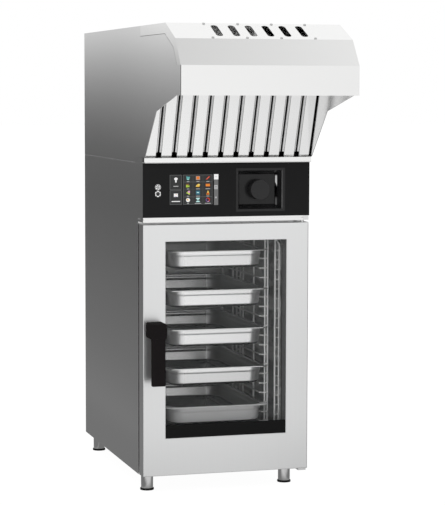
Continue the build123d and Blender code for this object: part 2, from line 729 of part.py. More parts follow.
def rear_connections():
    """Two water inlets with their valves, and the gland for the mains lead."""
    z = BASE_Z + FITTING_HEIGHT
    inside = BACK_Y - SHEET
    pieces = []
    spots = inlet_spots()
    for x in spots[:2]:
        half = VALVE_SIZE / 2
        valve = block((x - half, x + half), (inside - VALVE_DEPTH, inside), (z - half, z + half))
        end = BACK_Y + FITTING_REACH
        stub = rod_y(x, (inside, end), z, INLET_RADIUS - SPIGOT_NECK)
        stub += rod_y(x, (end - SPIGOT_LENGTH, end), z, INLET_RADIUS)
        bore = rod_y(x, (inside - VALVE_DEPTH / 2, end + 1), z, INLET_BORE)
        pieces.append(valve + stub - bore)
    x = spots[2]
    gland = rod_y(x, (inside - GLAND_REACH / 2, BACK_Y + GLAND_REACH), z, GLAND_RADIUS)
    gland += rod_y(x, (BACK_Y, BACK_Y + GLAND_REACH / 3), z, GLAND_FLANGE)
    gland += rod_y(x, (inside - GLAND_REACH / 3, inside), z, GLAND_FLANGE)
    pieces.append(gland - rod_y(x, (inside - GLAND_REACH, BACK_Y + GLAND_REACH + 1), z, GLAND_BORE))
    return group(pieces)


def vent_pipe():
    """Steam vent from the cavity's ceiling into the hood."""
    z = (CAVITY_HIGH + LINER_WALL, TOP_Z + VENT_RISE)
    pipe = rod_z(VENT_X, VENT_Y, z, VENT_RADIUS)
    return pipe - rod_z(VENT_X, VENT_Y, (z[0] - 1, z[1] + 1), VENT_RADIUS - VENT_WALL)


# Legs and feet


def leg_tubes():
    """Four round legs, each closed at its lower end by a plug that guides the foot's stem."""
    legs = []
    for x, y in LEG_SPOTS:
        low = CAP_HEIGHT + BODY_GAP
        leg = rod_z(x, y, (low, BASE_Z), LEG_RADIUS)
        leg -= rod_z(x, y, (low + LEG_PLUG, BASE_Z - LEG_WALL), LEG_RADIUS - LEG_WALL)
        legs.append(leg - rod_z(x, y, (low - 1, low + LEG_PLUG + 1), STEM_RADIUS + RUNNING_GAP))
    return group(legs)


def foot(spot):
    """Levelling foot: a round cap with its stem."""
    x, y = spot
    cap = rod_z(x, y, (0, CAP_HEIGHT), CAP_RADIUS)
    cap = fillet(cap.edges().group_by(Axis.Z)[-1], CAP_FILLET)
    return cap + rod_z(x, y, (0, CAP_HEIGHT + STEM_LENGTH), STEM_RADIUS)


# Door


def door_frame():
    """Folded door skin with its window, back returns and the two hinge sockets."""
    y = (DOOR_Y, DOOR_BACK)
    skin = block((-HALF, HALF), y, (DOOR_LOW, DOOR_HIGH))
    skin = fillet(skin.faces().sort_by(Axis.Y)[0].edges(), DOOR_EDGE_RADIUS)
    skin -= block((-INNER, INNER), (y[0] + SHEET, y[1] - SHEET), (DOOR_LOW + SHEET, DOOR_HIGH - SHEET))
    window = rounded_block(
        (-WINDOW_HALF, WINDOW_HALF), (y[0] - SHEET, y[0] + 2 * SHEET),
        (WINDOW_LOW, WINDOW_HIGH), WINDOW_CORNER,
    )
    skin -= window
    bevel_low = facing(0, y[0] + WINDOW_BEVEL, (WINDOW_LOW + WINDOW_HIGH) / 2)
    bevel_high = facing(0, y[0], (WINDOW_LOW + WINDOW_HIGH) / 2)
    height = WINDOW_HIGH - WINDOW_LOW
    skin -= loft([
        (bevel_low * Rectangle(2 * WINDOW_HALF, height)).face(),
        (bevel_high * Rectangle(2 * (WINDOW_HALF + WINDOW_BEVEL), height + 2 * WINDOW_BEVEL)).face(),
    ])
    skin -= block(
        (-INNER_GLASS_HALF - SEAM_GAP, INNER_GLASS_HALF + SEAM_GAP), (y[1] - 2 * SHEET, y[1] + SHEET),
        (INNER_GLASS_Z[0] - SEAM_GAP, INNER_GLASS_Z[1] + SEAM_GAP),
    )
    socket_x = (HINGE_X - HINGE_PLATE_HALF, INNER)
    socket_y = (y[0] + SHEET, y[1] - SHEET)
    ends = (
        (DOOR_LOW, DOOR_LOW + SHEET + HINGE_SOCKET_DEPTH),
        (DOOR_HIGH - SHEET - HINGE_SOCKET_DEPTH, DOOR_HIGH),
    )
    for low, high in ends:
        skin += block(socket_x, socket_y, (low, high))
        skin -= rod_z(HINGE_X, HINGE_Y, (low - 1, high + 1), HINGE_PIN_RADIUS + RUNNING_GAP)
    skin -= rod_y(HANDLE_X, (y[0] - 1, y[0] + 2 * SHEET), HANDLE_Z, SPINDLE_RADIUS + RUNNING_GAP)
    skin -= rod_y(KEEPER_X, (y[1] - 2 * SHEET, y[1] + 1), HANDLE_Z, KEEPER_HOLE_RADIUS)
    return skin


def outer_glass():
    edge = SPACER_WIDTH
    y = (DOOR_Y + SHEET, DOOR_Y + SHEET + GLASS_THICKNESS)
    return block((-WINDOW_HALF - edge, WINDOW_HALF + edge), y, (WINDOW_LOW - edge, WINDOW_HIGH + edge))


def inner_glass():
    y = (DOOR_BACK - GLASS_THICKNESS, DOOR_BACK)
    return block((-INNER_GLASS_HALF, INNER_GLASS_HALF), y, INNER_GLASS_Z)


def glass_spacer():
    """Frame that keeps the two glasses apart and shows as the window's reveal."""
    edge = SPACER_WIDTH
    y = (DOOR_Y + SHEET + GLASS_THICKNESS, DOOR_BACK - GLASS_THICKNESS)
    ring = block((-WINDOW_HALF - edge, WINDOW_HALF + edge), y, (WINDOW_LOW - edge, WINDOW_HIGH + edge))
    return ring - block((-WINDOW_HALF, WINDOW_HALF), (y[0] - 1, y[1] + 1), (WINDOW_LOW, WINDOW_HIGH))


def hinge_brackets():
    """Upper block and lower plate, each with the pin that the door turns on."""
    upper = block(
        (INNER - HINGE_BLOCK_WIDTH, INNER), (DOOR_Y - HINGE_BLOCK_PROUD, FRONT_Y), (HEAD_LOW, GLASS_LOW)
    )
    upper += rod_z(HINGE_X, HINGE_Y, (DOOR_HIGH - HINGE_PIN_REACH, GLASS_LOW), HINGE_PIN_RADIUS)
    lower = block(
        (HINGE_X - HINGE_PLATE_HALF, INNER), (HINGE_Y - HINGE_PLATE_HALF, FRONT_Y + HINGE_PLATE_TAIL),
        (BASE_Z - HINGE_PLATE, BASE_Z),
    )
    lower += rod_z(HINGE_X, HINGE_Y, (BASE_Z - HINGE_PLATE, DOOR_LOW + HINGE_PIN_REACH), HINGE_PIN_RADIUS)
    return group([upper, lower])


def boss_outline(y):
    """The handle boss's square section, carried between two places along Y."""
    half_x = BOSS_WIDTH / 2
    half_z = BOSS_HEIGHT / 2
    return rounded_block(
        (HANDLE_X - half_x, HANDLE_X + half_x), y, (HANDLE_Z - half_z, HANDLE_Z + half_z), BOSS_CORNER
    )


def handle_rose():
    rose = boss_outline((DOOR_Y - ROSE_THICKNESS, DOOR_Y))
    return rose - rod_y(
        HANDLE_X, (DOOR_Y - ROSE_THICKNESS - 1, DOOR_Y + 1), HANDLE_Z, SPINDLE_RADIUS + RUNNING_GAP
    )


def door_handle():
    """Lever handle: a square boss with the grip hanging below it."""
    front = DOOR_Y - BOSS_REACH
    boss_back = DOOR_Y - ROSE_THICKNESS - BODY_GAP
    boss = boss_outline((front, boss_back))
    boss = fillet(boss.faces().sort_by(Axis.Y)[0].edges(), BOSS_CORNER / 3)
    grip_half = GRIP_WIDTH / 2
    grip = block(
        (HANDLE_X - grip_half, HANDLE_X + grip_half), (front + SEAM_GAP, front + SEAM_GAP + GRIP_THICKNESS),
        (HANDLE_Z - GRIP_LENGTH, HANDLE_Z),
    )
    grip = fillet(grip.edges().filter_by(Axis.Z), GRIP_CORNER)
    grip = fillet(grip.faces().sort_by(Axis.Z)[0].edges(), GRIP_CORNER / 2)
    seat = rod_y(HANDLE_X, (boss_back - SPINDLE_SEAT, boss_back + 1), HANDLE_Z, SPINDLE_RADIUS + RUNNING_GAP)
    return boss + grip - seat


def latch_cam():
    """Spindle with a slotted disc; the keeper's pin stands in the curved slot."""
    seat = DOOR_Y - ROSE_THICKNESS - BODY_GAP - SPINDLE_SEAT
    disc_y = (DOOR_Y + LATCH_SETBACK, DOOR_Y + LATCH_SETBACK + LATCH_THICKNESS)
    cam = rod_y(HANDLE_X, disc_y, HANDLE_Z, LATCH_RADIUS)
    cut_y = (disc_y[0] - 1, disc_y[1] + 1)
    outer = LATCH_SLOT_RADIUS + LATCH_SLOT_WIDTH / 2
    ring = rod_y(HANDLE_X, cut_y, HANDLE_Z, outer)
    ring -= rod_y(HANDLE_X, cut_y, HANDLE_Z, outer - LATCH_SLOT_WIDTH)
    overrun = LATCH_SLOT_WIDTH / 2 + 1
    open_side = block((HANDLE_X - outer, HANDLE_X + overrun), cut_y, (HANDLE_Z - outer, HANDLE_Z + outer))
    cam -= ring & open_side
    return cam + rod_y(HANDLE_X, (seat, disc_y[1]), HANDLE_Z, SPINDLE_RADIUS)


def latch_keeper():
    """Pin on the front frame that the door's latch closes round."""
    half = KEEPER_HOLE_RADIUS
    z = (HANDLE_Z - half, HANDLE_Z + half)
    base = block((KEEPER_X - half, KEEPER_X + half), (FRONT_Y - KEEPER_BASE, FRONT_Y), z)
    tip = DOOR_Y + LATCH_SETBACK - BODY_GAP
    return base + rod_y(KEEPER_X, (tip, FRONT_Y), HANDLE_Z, KEEPER_PIN_RADIUS)


# Control head


def recess_window(extra):
    """Spans of the knob recess's mouth across X and Z, widened by a margin."""
    half_x = RECESS_WIDTH / 2 + extra
    half_z = RECESS_HEIGHT / 2 + extra
    return (RECESS_X - half_x, RECESS_X + half_x), (RECESS_Z - half_z, RECESS_Z + half_z)


def control_fascia():
    """Black glass across the head, cut out for the screen and the knob's recess."""
    y = (DOOR_Y - FASCIA_THICKNESS, DOOR_Y)
    cut_y = (y[0] - 1, y[1] + 1)
    glass = block((-HALF, HALF), y, (GLASS_LOW, TOP_Z))
    screen_x = (SCREEN_X[0] - SCREEN_FIT, SCREEN_X[1] + SCREEN_FIT)
    screen_z = (SCREEN_Z[0] - SCREEN_FIT, SCREEN_Z[1] + SCREEN_FIT)
    glass -= block(screen_x, cut_y, screen_z)
    hole_x, hole_z = recess_window(RECESS_WALL + SCREEN_FIT)
    return glass - block(hole_x, cut_y, hole_z)


def touchscreen():
    front = DOOR_Y - FASCIA_THICKNESS - SCREEN_PROUD
    return block(SCREEN_X, (front, front + SCREEN_DEPTH), SCREEN_Z)


def knob_recess():
    """Tapered tray round the knob, with a thin frame on the glass."""
    front = DOOR_Y - FASCIA_THICKNESS
    floor = front + RECESS_DEPTH
    frame_x, frame_z = recess_window(RECESS_FRAME)
    tray = block(frame_x, (front - RECESS_FRAME_PROUD, front), frame_z)

    def funnel(wall, mouth_y, floor_y):
        mouth = facing(RECESS_X, mouth_y, RECESS_Z)
        mouth *= Rectangle(RECESS_WIDTH + 2 * wall, RECESS_HEIGHT + 2 * wall)
        end = facing(RECESS_X, floor_y, RECESS_Z) * Rectangle(
            RECESS_WIDTH - 2 * (RECESS_TAPER - wall), RECESS_HEIGHT - 2 * (RECESS_TAPER - wall)
        )
        return loft([mouth.face(), end.face()])

    tray += funnel(RECESS_WALL, front - RECESS_FRAME_PROUD / 2, floor + RECESS_WALL)
    tray -= funnel(0, front - RECESS_FRAME_PROUD, floor)
    return tray - rod_y(RECESS_X, (floor - 1, floor + RECESS_WALL + 1), RECESS_Z, SHAFT_RADIUS + SEAM_GAP)


def encoder_body():
    back = DOOR_Y - FASCIA_THICKNESS + RECESS_DEPTH + RECESS_WALL
    half = ENCODER_SIZE / 2
    body = block(
        (RECESS_X - half, RECESS_X + half), (back, back + ENCODER_DEPTH), (RECESS_Z - half, RECESS_Z + half)
    )
    bore = rod_y(RECESS_X, (back - 1, back + ENCODER_DEPTH + 1), RECESS_Z, SHAFT_RADIUS + RUNNING_GAP)
    return body - bore


def encoder_shaft():
    """Plunger that the knob turns on and pushes in."""
    knob_back = DOOR_Y - FASCIA_THICKNESS - KNOB_PROUD + KNOB_LENGTH
    back = DOOR_Y - FASCIA_THICKNESS + RECESS_DEPTH + RECESS_WALL + ENCODER_DEPTH
    return rod_y(RECESS_X, (knob_back - KNOB_BORE_DEPTH + BODY_GAP, back - 3), RECESS_Z, SHAFT_RADIUS)


def control_knob():
    front = DOOR_Y - FASCIA_THICKNESS - KNOB_PROUD
    back = front + KNOB_LENGTH
    knob = rod_y(RECESS_X, (front, back), RECESS_Z, KNOB_RADIUS)
    knob = fillet(knob.edges().group_by(Axis.Y)[0], KNOB_EDGE)
    return knob - rod_y(RECESS_X, (back - KNOB_BORE_DEPTH, back + 1), RECESS_Z, SHAFT_RADIUS + RUNNING_GAP)


def control_board():
    """Circuit board on four posts behind the screen."""
    back = DOOR_Y - FASCIA_THICKNESS - SCREEN_PROUD + SCREEN_DEPTH
    face = back + BOARD_GAP
    board = block(SCREEN_X, (face, face + BOARD_THICKNESS), SCREEN_Z)
    for x in (SCREEN_X[0] + 3 * POST_RADIUS, SCREEN_X[1] - 3 * POST_RADIUS):
        for z in (SCREEN_Z[0] + 3 * POST_RADIUS, SCREEN_Z[1] - 3 * POST_RADIUS):
            board += rod_y(x, (back, face), z, POST_RADIUS)
    return board


def drip_lip():
    """Two stacked folds under the fascia, which also close the head's underside."""
    x = (-HALF, INNER - HINGE_BLOCK_WIDTH - SEAM_GAP)
    front = DOOR_Y - FASCIA_THICKNESS
    upper = block(x, (front, FRONT_Y), (GLASS_LOW - LIP_UPPER, GLASS_LOW))
    lower = block(x, (front, FRONT_Y), (HEAD_LOW, HEAD_LOW + LIP_LOWER))
    lower -= block(
        (x[0] + LIP_WALL, x[1] - LIP_WALL), (front + LIP_WALL, FRONT_Y + 1),
        (HEAD_LOW + LIP_WALL, HEAD_LOW + LIP_LOWER - LIP_WALL),
    )
    step = 2 * LIP_WALL
    web_z = (HEAD_LOW + LIP_LOWER, GLASS_LOW - LIP_UPPER)
    web = block((x[0] + step, x[1] - step), (front + step, FRONT_Y), web_z)
    return upper + lower + web


# Hood outline, shared by its sides, cover and fascia

SLOPE_TOP = (HOOD_FRONT + LOWER_SLOPE_RUN + UPPER_SLOPE_RUN, HOOD_TOP)
SLOPE_MIDDLE = (HOOD_FRONT + LOWER_SLOPE_RUN, HOOD_TOP - UPPER_SLOPE_DROP)
SLOPE_FOOT = (HOOD_FRONT, SLOPE_MIDDLE[1] - LOWER_SLOPE_DROP)
FASCIA_FOOT_Z = SLOPE_FOOT[1] - HOOD_FASCIA_HEIGHT
TRIM_TOP = TOP_Z + TAB_HEIGHT
SLOPE_LENGTH = math.dist(SLOPE_TOP, SLOPE_MIDDLE)
SLOPE_ALONG = (-UPPER_SLOPE_RUN / SLOPE_LENGTH, -UPPER_SLOPE_DROP / SLOPE_LENGTH)
COVER_LINE = [(DOOR_Y + COVER_SEAM_SETBACK, HOOD_TOP), SLOPE_TOP, SLOPE_MIDDLE, SLOPE_FOOT]


def cover_band(width):
    """Outline of the cover's edge, from its outer line to a parallel line inside."""
    inside = inset_line(COVER_LINE, width)
    steps = COVER_LINE[2][0] - COVER_LINE[3][0], COVER_LINE[2][1] - COVER_LINE[3][1]
    share = (inside[2][1] - SLOPE_FOOT[1]) / steps[1]
    foot = (inside[2][0] - steps[0] * share, SLOPE_FOOT[1])
    return COVER_LINE + [foot] + [inside[2], inside[1], (COVER_LINE[0][0], HOOD_TOP - width)]


def hood_side(side):
    """Hood side sheet, cut back where the cover and the fascia lie flush with it."""
    points = [
        (BACK_Y, TOP_Z),
        (BACK_Y, HOOD_TOP),
        SLOPE_TOP,
        SLOPE_MIDDLE,
        SLOPE_FOOT,
        (HOOD_FRONT, FASCIA_FOOT_Z),
        (HOOD_FRONT + HOOD_LIP, FASCIA_FOOT_Z),
        (DOOR_Y - BREAK_FORWARD, TOP_Z + BREAK_HEIGHT),
        (DOOR_Y - CHEEK_FORWARD, TRIM_TOP + SEAM_GAP + 2),
        (DOOR_Y - TRIM_FORWARD, TRIM_TOP + SEAM_GAP),
        (DOOR_Y + TAB_SETBACK + SEAM_GAP, TRIM_TOP + SEAM_GAP),
        (DOOR_Y + TAB_SETBACK + SEAM_GAP, TOP_Z),
    ]
    x = (INNER, HALF) if side > 0 else (-HALF, -INNER)
    sheet = side_plate(points, x)
    wide = (x[0] - 1, x[1] + 1)
    sheet -= side_plate(cover_band(COVER_RETURN + COVER_JOINT), wide)
    return sheet - block(wide, (HOOD_FRONT, HOOD_FRONT + SHEET), (FASCIA_FOOT_Z, HOOD_TOP))


def slope_plane(x, along):
    """Sketch plane on the upper slope, its width running down the slope."""
    origin = (x, SLOPE_TOP[0] + SLOPE_ALONG[0] * along, SLOPE_TOP[1] + SLOPE_ALONG[1] * along)
    return Plane(
        origin=origin, x_dir=(0, SLOPE_ALONG[0], SLOPE_ALONG[1]), z_dir=(0, SLOPE_ALONG[1], -SLOPE_ALONG[0])
    )


def screw_spots():
    """Planes of the cover screws: two rows down the upper slope."""
    first = -SCREW_PITCH * (SCREWS_PER_ROW - 1) / 2
    across = [first + index * SCREW_PITCH for index in range(SCREWS_PER_ROW)]
    return [slope_plane(x, row) for row in SCREW_ROWS for x in across]


def hood_cover():
    """Folded cover over the hood's front, with the air slots and side returns."""
    cover = side_plate(cover_band(SHEET), (-HALF, HALF))
    cover += side_plate(cover_band(COVER_RETURN), (INNER, HALF))
    cover += side_plate(cover_band(COVER_RETURN), (-HALF, -INNER))
    first = -SLOT_PITCH * (SLOT_COUNT - 1) / 2
    for index in range(SLOT_COUNT):
        slot = slope_plane(first + index * SLOT_PITCH, SLOT_CENTRE) * SlotOverall(SLOT_LENGTH, SLOT_WIDTH)
        cover -= extrude(slot, amount=4 * SHEET, both=True)
    for plane in screw_spots():
        cover -= extrude(plane * Circle(SCREW_RADIUS + RUNNING_GAP), amount=4 * SHEET, both=True)
    return cover


def hood_screws():
    screws = []
    for plane in screw_spots():
        head = extrude(plane * Circle(SCREW_HEAD_RADIUS), amount=SCREW_HEAD)
        shank = extrude(plane * Circle(SCREW_RADIUS), amount=-SCREW_LENGTH)
        screws.append(head + shank)
    return group(screws)


def hood_fascia():
    """Front band of the hood with the lip under it."""
    band = block((-HALF, HALF), (HOOD_FRONT, HOOD_FRONT + SHEET), (FASCIA_FOOT_Z, SLOPE_FOOT[1]))
    lip = block((-INNER, INNER), (HOOD_FRONT, HOOD_FRONT + HOOD_LIP), (FASCIA_FOOT_Z, FASCIA_FOOT_Z + SHEET))
    return band + lip


def hood_shell():
    """One wrapped sheet: the hood's floor, back and the rear part of its top."""
    x = (-INNER, INNER)
    shell = block(x, (DOOR_Y - TRIM_FORWARD, BACK_Y), (TOP_Z, TOP_Z + SHEET))
    shell += block(x, (BACK_Y - SHEET, BACK_Y), (TOP_Z, HOOD_TOP))
    shell += block(x, (DOOR_Y + COVER_SEAM_SETBACK + SEAM_GAP, BACK_Y), (HOOD_TOP - SHEET, HOOD_TOP))
    return shell - rod_z(VENT_X, VENT_Y, (TOP_Z - 1, TOP_Z + 2 * SHEET), VENT_RADIUS + SEAM_GAP)


def trim_strip():
    """Bright bar between the black glass and the filter, with a shallow groove along it."""
    front = DOOR_Y - TRIM_FORWARD
    z = (TOP_Z + SHEET, TRIM_TOP)
    bar = block((-HALF, HALF), (front, front + TRIM_DEPTH), z)
    bar = fillet(bar.faces().sort_by(Axis.Y)[0].edges().filter_by(Axis.X), TRIM_GROOVE)
    middle = (z[0] + z[1]) / 2
    half = TRIM_GROOVE / 2
    groove = block((-HALF - 1, HALF + 1), (front - 1, front + TRIM_GROOVE), (middle - half, middle + half))
    return bar - groove


# Baffle filter and the channel that holds it


def filter_place():
    """Moves a shape made upright at the origin to the filter's leaning place."""
    foot_z = TOP_Z + SHEET + BODY_GAP
    return Pos(0, DOOR_Y - FILTER_FOOT_FORWARD, foot_z) * Rot(FILTER_LEAN, 0, 0)


def baffle_plate(x, flip):
    """One folded baffle: a flat with a slanted lip along each edge."""
    half = BAFFLE_FLAT / 2
    lip = (BAFFLE_PITCH - BAFFLE_FLAT - BAFFLE_SLOT) / 2
    deep = BAFFLE_LIP_DEPTH
    thin = BAFFLE_SHEET
    outline = [
        (-half - lip, deep), (-half, 0), (half, 0), (half + lip, deep),
        (half + lip - thin, deep), (half - thin / 2, thin),
        (thin / 2 - half, thin), (thin - half - lip, deep),
    ]
    low = BAFFLE_NOTCH
    high = FILTER_LENGTH - FILTER_RAIL
    if flip:
        outline = [(px, FILTER_DEPTH - py) for px, py in reversed(outline)]
        rear = Plane.XY.offset(FILTER_RAIL - 1) * Polygon(*outline, align=None)
        return Pos(x, 0, 0) * extrude(rear, amount=high - FILTER_RAIL + 2, dir=(0, 0, 1))
    section = Plane.XY.offset(low) * Polygon(*outline, align=None)
    folded = extrude(section, amount=high - low + 1, dir=(0, 0, 1))
    return Pos(x, 0, 0) * (folded + block((-half, half), (0, thin), (0, FILTER_LENGTH)))


def baffle_filter():
    """Grease filter: a shallow frame with two staggered rows of folded baffles."""
    half = INNER - FILTER_SIDE_GAP
    tray = block((-half, half), (0, FILTER_DEPTH), (0, FILTER_LENGTH))
    edge = BAFFLE_PITCH * BAFFLE_COUNT / 2 - BAFFLE_FLAT / 2 + BAFFLE_SHEET
    tray -= block((-edge, edge), (-1, FILTER_DEPTH + 1), (FILTER_RAIL, FILTER_LENGTH - FILTER_RAIL))
    slots_x = [(index - (BAFFLE_COUNT - 1) / 2) * BAFFLE_PITCH for index in range(BAFFLE_COUNT)]
    mouth = (BAFFLE_PITCH - BAFFLE_FLAT) / 2
    for x in slots_x:
        notch_y = (-1, FILTER_DEPTH - 2 * BAFFLE_SHEET)
        tray -= block((x - mouth, x + mouth), notch_y, (BAFFLE_SHEET, FILTER_RAIL + 1))
    pieces = [baffle_plate(x, True) for x in slots_x]
    pieces += [baffle_plate(x + BAFFLE_PITCH / 2, False) for x in slots_x[:-1]]
    for piece in pieces:
        tray += piece
    return filter_place() * tray


def mouth_ceiling():
    """Inner sheet over the hood's mouth, with the filter's upper channel and the rear partition."""
    x = (-INNER, INNER)
    slope = math.hypot(LOWER_SLOPE_RUN, LOWER_SLOPE_DROP)
    rise = CEILING_Z + SHEET - SLOPE_FOOT[1]
    front = HOOD_FRONT + (LOWER_SLOPE_RUN * rise + SHEET * slope) / LOWER_SLOPE_DROP + BODY_GAP
    back = DOOR_Y - PARTITION_SETBACK
    sheet = block(x, (front, back), (CEILING_Z, CEILING_Z + SHEET))
    wall = block(x, (back - SHEET, back), (CEILING_Z, HOOD_TOP - SHEET))
    duct_half = DUCT_WIDTH / 2
    duct_top = HOOD_TOP - 4 * SHEET
    wall -= block((-duct_half, duct_half), (back - 2 * SHEET, back + 1), (duct_top - DUCT_HEIGHT, duct_top))
    reach = FILTER_LENGTH + CHANNEL_COVER
    lip = block(x, (-CHANNEL_GAP - SHEET, -CHANNEL_GAP), (FILTER_LENGTH - CHANNEL_COVER / 2, reach))
    lip = filter_place() * lip
    lip &= block((-HALF, HALF), (HOOD_FRONT, BACK_Y), (TOP_Z, CEILING_Z + SHEET))
    return sheet + wall + lip


# Hood blower

BLOWER_FRONT = DOOR_Y + BLOWER_SETBACK
BLOWER_BACK = BLOWER_FRONT + BLOWER_DEPTH
BLOWER_Z = TOP_Z + BLOWER_LIFT
DUCT_TOP = HOOD_TOP - 4 * SHEET


def blower_housing():
    """Scroll housing on two legs, with a duct up and forward to the partition."""
    half = DUCT_WIDTH / 2
    partition = DOOR_Y - PARTITION_SETBACK

    def solid(wall):
        y = (BLOWER_FRONT + wall, BLOWER_BACK - wall)
        drum = rod_y(0, y, BLOWER_Z, BLOWER_RADIUS - wall)
        drum += block((wall - half, half - wall), y, (BLOWER_Z, DUCT_TOP - wall))
        return drum

    shell = solid(0)
    duct_z = (DUCT_TOP - DUCT_HEIGHT, DUCT_TOP)
    shell += block((-half, half), (partition, BLOWER_BACK), duct_z)
    shell -= solid(BLOWER_WALL)
    shell -= block(
        (BLOWER_WALL - half, half - BLOWER_WALL), (partition - 1, BLOWER_BACK - BLOWER_WALL),
        (duct_z[0] + BLOWER_WALL, duct_z[1] - BLOWER_WALL),
    )
    shell -= rod_y(0, (BLOWER_FRONT - 1, BLOWER_FRONT + 2 * BLOWER_WALL), BLOWER_Z, BLOWER_INLET)
    shell -= rod_y(0, (BLOWER_BACK - 2 * BLOWER_WALL, BLOWER_BACK + 1), BLOWER_Z, 2 * WHEEL_SHAFT_RADIUS)
    leg_top = BLOWER_Z - BLOWER_RADIUS * math.sqrt(0.5)
    for side in (-1, 1):
        x = side * BLOWER_RADIUS * math.sqrt(0.5)
        leg_x = (x - 2 * BLOWER_WALL, x + 2 * BLOWER_WALL)
        leg = block(leg_x, (BLOWER_FRONT, BLOWER_BACK), (TOP_Z + SHEET, leg_top))
        bed_y = (BLOWER_FRONT - 1, BLOWER_BACK + 1)
        shell += leg - rod_y(0, bed_y, BLOWER_Z, BLOWER_RADIUS - BLOWER_WALL / 2)
    return shell


def blower_wheel():
    back = BLOWER_BACK - 6 * BLOWER_WALL
    front = back - WHEEL_WIDTH
    wheel = rod_y(0, (back - 2, back), BLOWER_Z, WHEEL_RADIUS)
    ring = rod_y(0, (front, front + 2), BLOWER_Z, WHEEL_RADIUS)
    wheel += ring - rod_y(0, (front - 1, front + 3), BLOWER_Z, WHEEL_INNER_RADIUS)
    blade = block((WHEEL_INNER_RADIUS + 1, WHEEL_RADIUS - 1), (front + 1, back - 1), (-1, 1))
    for index in range(WHEEL_BLADES):
        wheel += Pos(0, 0, BLOWER_Z) * Rot(0, index * 360 / WHEEL_BLADES, 0) * blade
    shaft_y = (back - WHEEL_WIDTH / 2, BLOWER_BACK + BLOWER_MOTOR_LENGTH / 2)
    return wheel + rod_y(0, shaft_y, BLOWER_Z, WHEEL_SHAFT_RADIUS)


def blower_motor():
    y = (BLOWER_BACK, BLOWER_BACK + BLOWER_MOTOR_LENGTH)
    motor = rod_y(0, y, BLOWER_Z, BLOWER_MOTOR_RADIUS)
    return motor - rod_y(0, (y[0] - 1, y[1] - 10), BLOWER_Z, WHEEL_SHAFT_RADIUS + RUNNING_GAP)


PARTS = {
    "side_panel_left": side_panel(-1),
    "side_panel_right": side_panel(1),
    "rear_panel": rear_panel(),
    "base_panel": base_panel(),
    "top_panel": top_panel(),
    "front_frame": front_frame(),
    "cavity_liner": cavity_liner(),
    "insulation": insulation(),
    "door_gasket": door_gasket(),
    "fan_baffle": fan_baffle(),
    "fan_upper": fan_wheel(FAN_HEIGHTS[0]),
    "fan_lower": fan_wheel(FAN_HEIGHTS[1]),
    "fan_motors": fan_motors(),
    "heating_element": heating_element(),
    "steam_pipe": steam_pipe(),
    "cavity_drain": cavity_drain(),
    "rear_connections": rear_connections(),
    "vent_pipe": vent_pipe(),
    "leg_tubes": leg_tubes(),
    "door_frame": door_frame(),
    "outer_glass": outer_glass(),
    "inner_glass": inner_glass(),
    "glass_spacer": glass_spacer(),
    "hinge_brackets": hinge_brackets(),
    "handle_rose": handle_rose(),
    "door_handle": door_handle(),
    "latch_cam": latch_cam(),
    "latch_keeper": latch_keeper(),
    "control_fascia": control_fascia(),
    "touchscreen": touchscreen(),
    "knob_recess": knob_recess(),
    "encoder_body": encoder_body(),
    "encoder_shaft": encoder_shaft(),
    "control_knob": control_knob(),
    "control_board": control_board(),
    "drip_lip": drip_lip(),
    "hood_side_left": hood_side(-1),
    "hood_side_right": hood_side(1),
    "hood_cover": hood_cover(),
    "hood_screws": hood_screws(),
    "hood_fascia": hood_fascia(),
    "hood_shell": hood_shell(),
    "trim_strip": trim_strip(),
    "baffle_filter": baffle_filter(),
    "mouth_ceiling": mouth_ceiling(),
    "blower_housing": blower_housing(),
    "blower_wheel": blower_wheel(),
    "blower_motor": blower_motor(),
}
PARTS["rack_right"] = rack()
PARTS["rack_left"] = mirror(PARTS["rack_right"], about=Plane.YZ)
lowest_pan = pan()
for number in range(PAN_COUNT):
    PARTS[f"pan_{number + 1}"] = Pos(0, 0, number * PAN_LEVEL_STEP * LEVEL_PITCH) * lowest_pan
for number, spot in enumerate(LEG_SPOTS):
    PARTS[f"foot_{number + 1}"] = foot(spot)

for name, shape in PARTS.items():
    export_step(shape, f"parts/{name}.step")
print(f"cabinet {2 * HALF:.1f} wide, {CABINET_DEPTH:.1f} deep, {TOP_Z:.1f} high, hood top {HOOD_TOP:.1f}")
print(f"door face at {DOOR_Y:.2f}, hinge at {HINGE_X:.2f}, {HINGE_Y:.2f}, nodes {len(PARTS)}")
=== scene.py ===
import math

import bpy
import numpy as np
from mathutils import Matrix, Vector


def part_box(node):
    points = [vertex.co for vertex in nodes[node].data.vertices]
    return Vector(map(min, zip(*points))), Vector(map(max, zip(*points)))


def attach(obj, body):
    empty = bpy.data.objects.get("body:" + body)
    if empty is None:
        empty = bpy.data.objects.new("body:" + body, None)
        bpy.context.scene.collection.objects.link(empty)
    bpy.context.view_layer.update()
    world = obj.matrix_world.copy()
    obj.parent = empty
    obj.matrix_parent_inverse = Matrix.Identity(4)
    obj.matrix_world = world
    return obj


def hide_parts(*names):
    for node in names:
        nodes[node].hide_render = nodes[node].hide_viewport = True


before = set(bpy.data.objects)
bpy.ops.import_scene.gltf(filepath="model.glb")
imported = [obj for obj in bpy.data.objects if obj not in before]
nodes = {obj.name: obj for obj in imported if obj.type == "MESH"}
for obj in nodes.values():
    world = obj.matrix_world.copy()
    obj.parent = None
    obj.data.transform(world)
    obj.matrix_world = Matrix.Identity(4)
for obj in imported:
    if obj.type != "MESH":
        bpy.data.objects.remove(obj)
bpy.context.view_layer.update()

# Looks of a slim combi oven with an extraction hood. Lengths are metres, in the frame of the solids.

MM = 0.001


# Shader maths


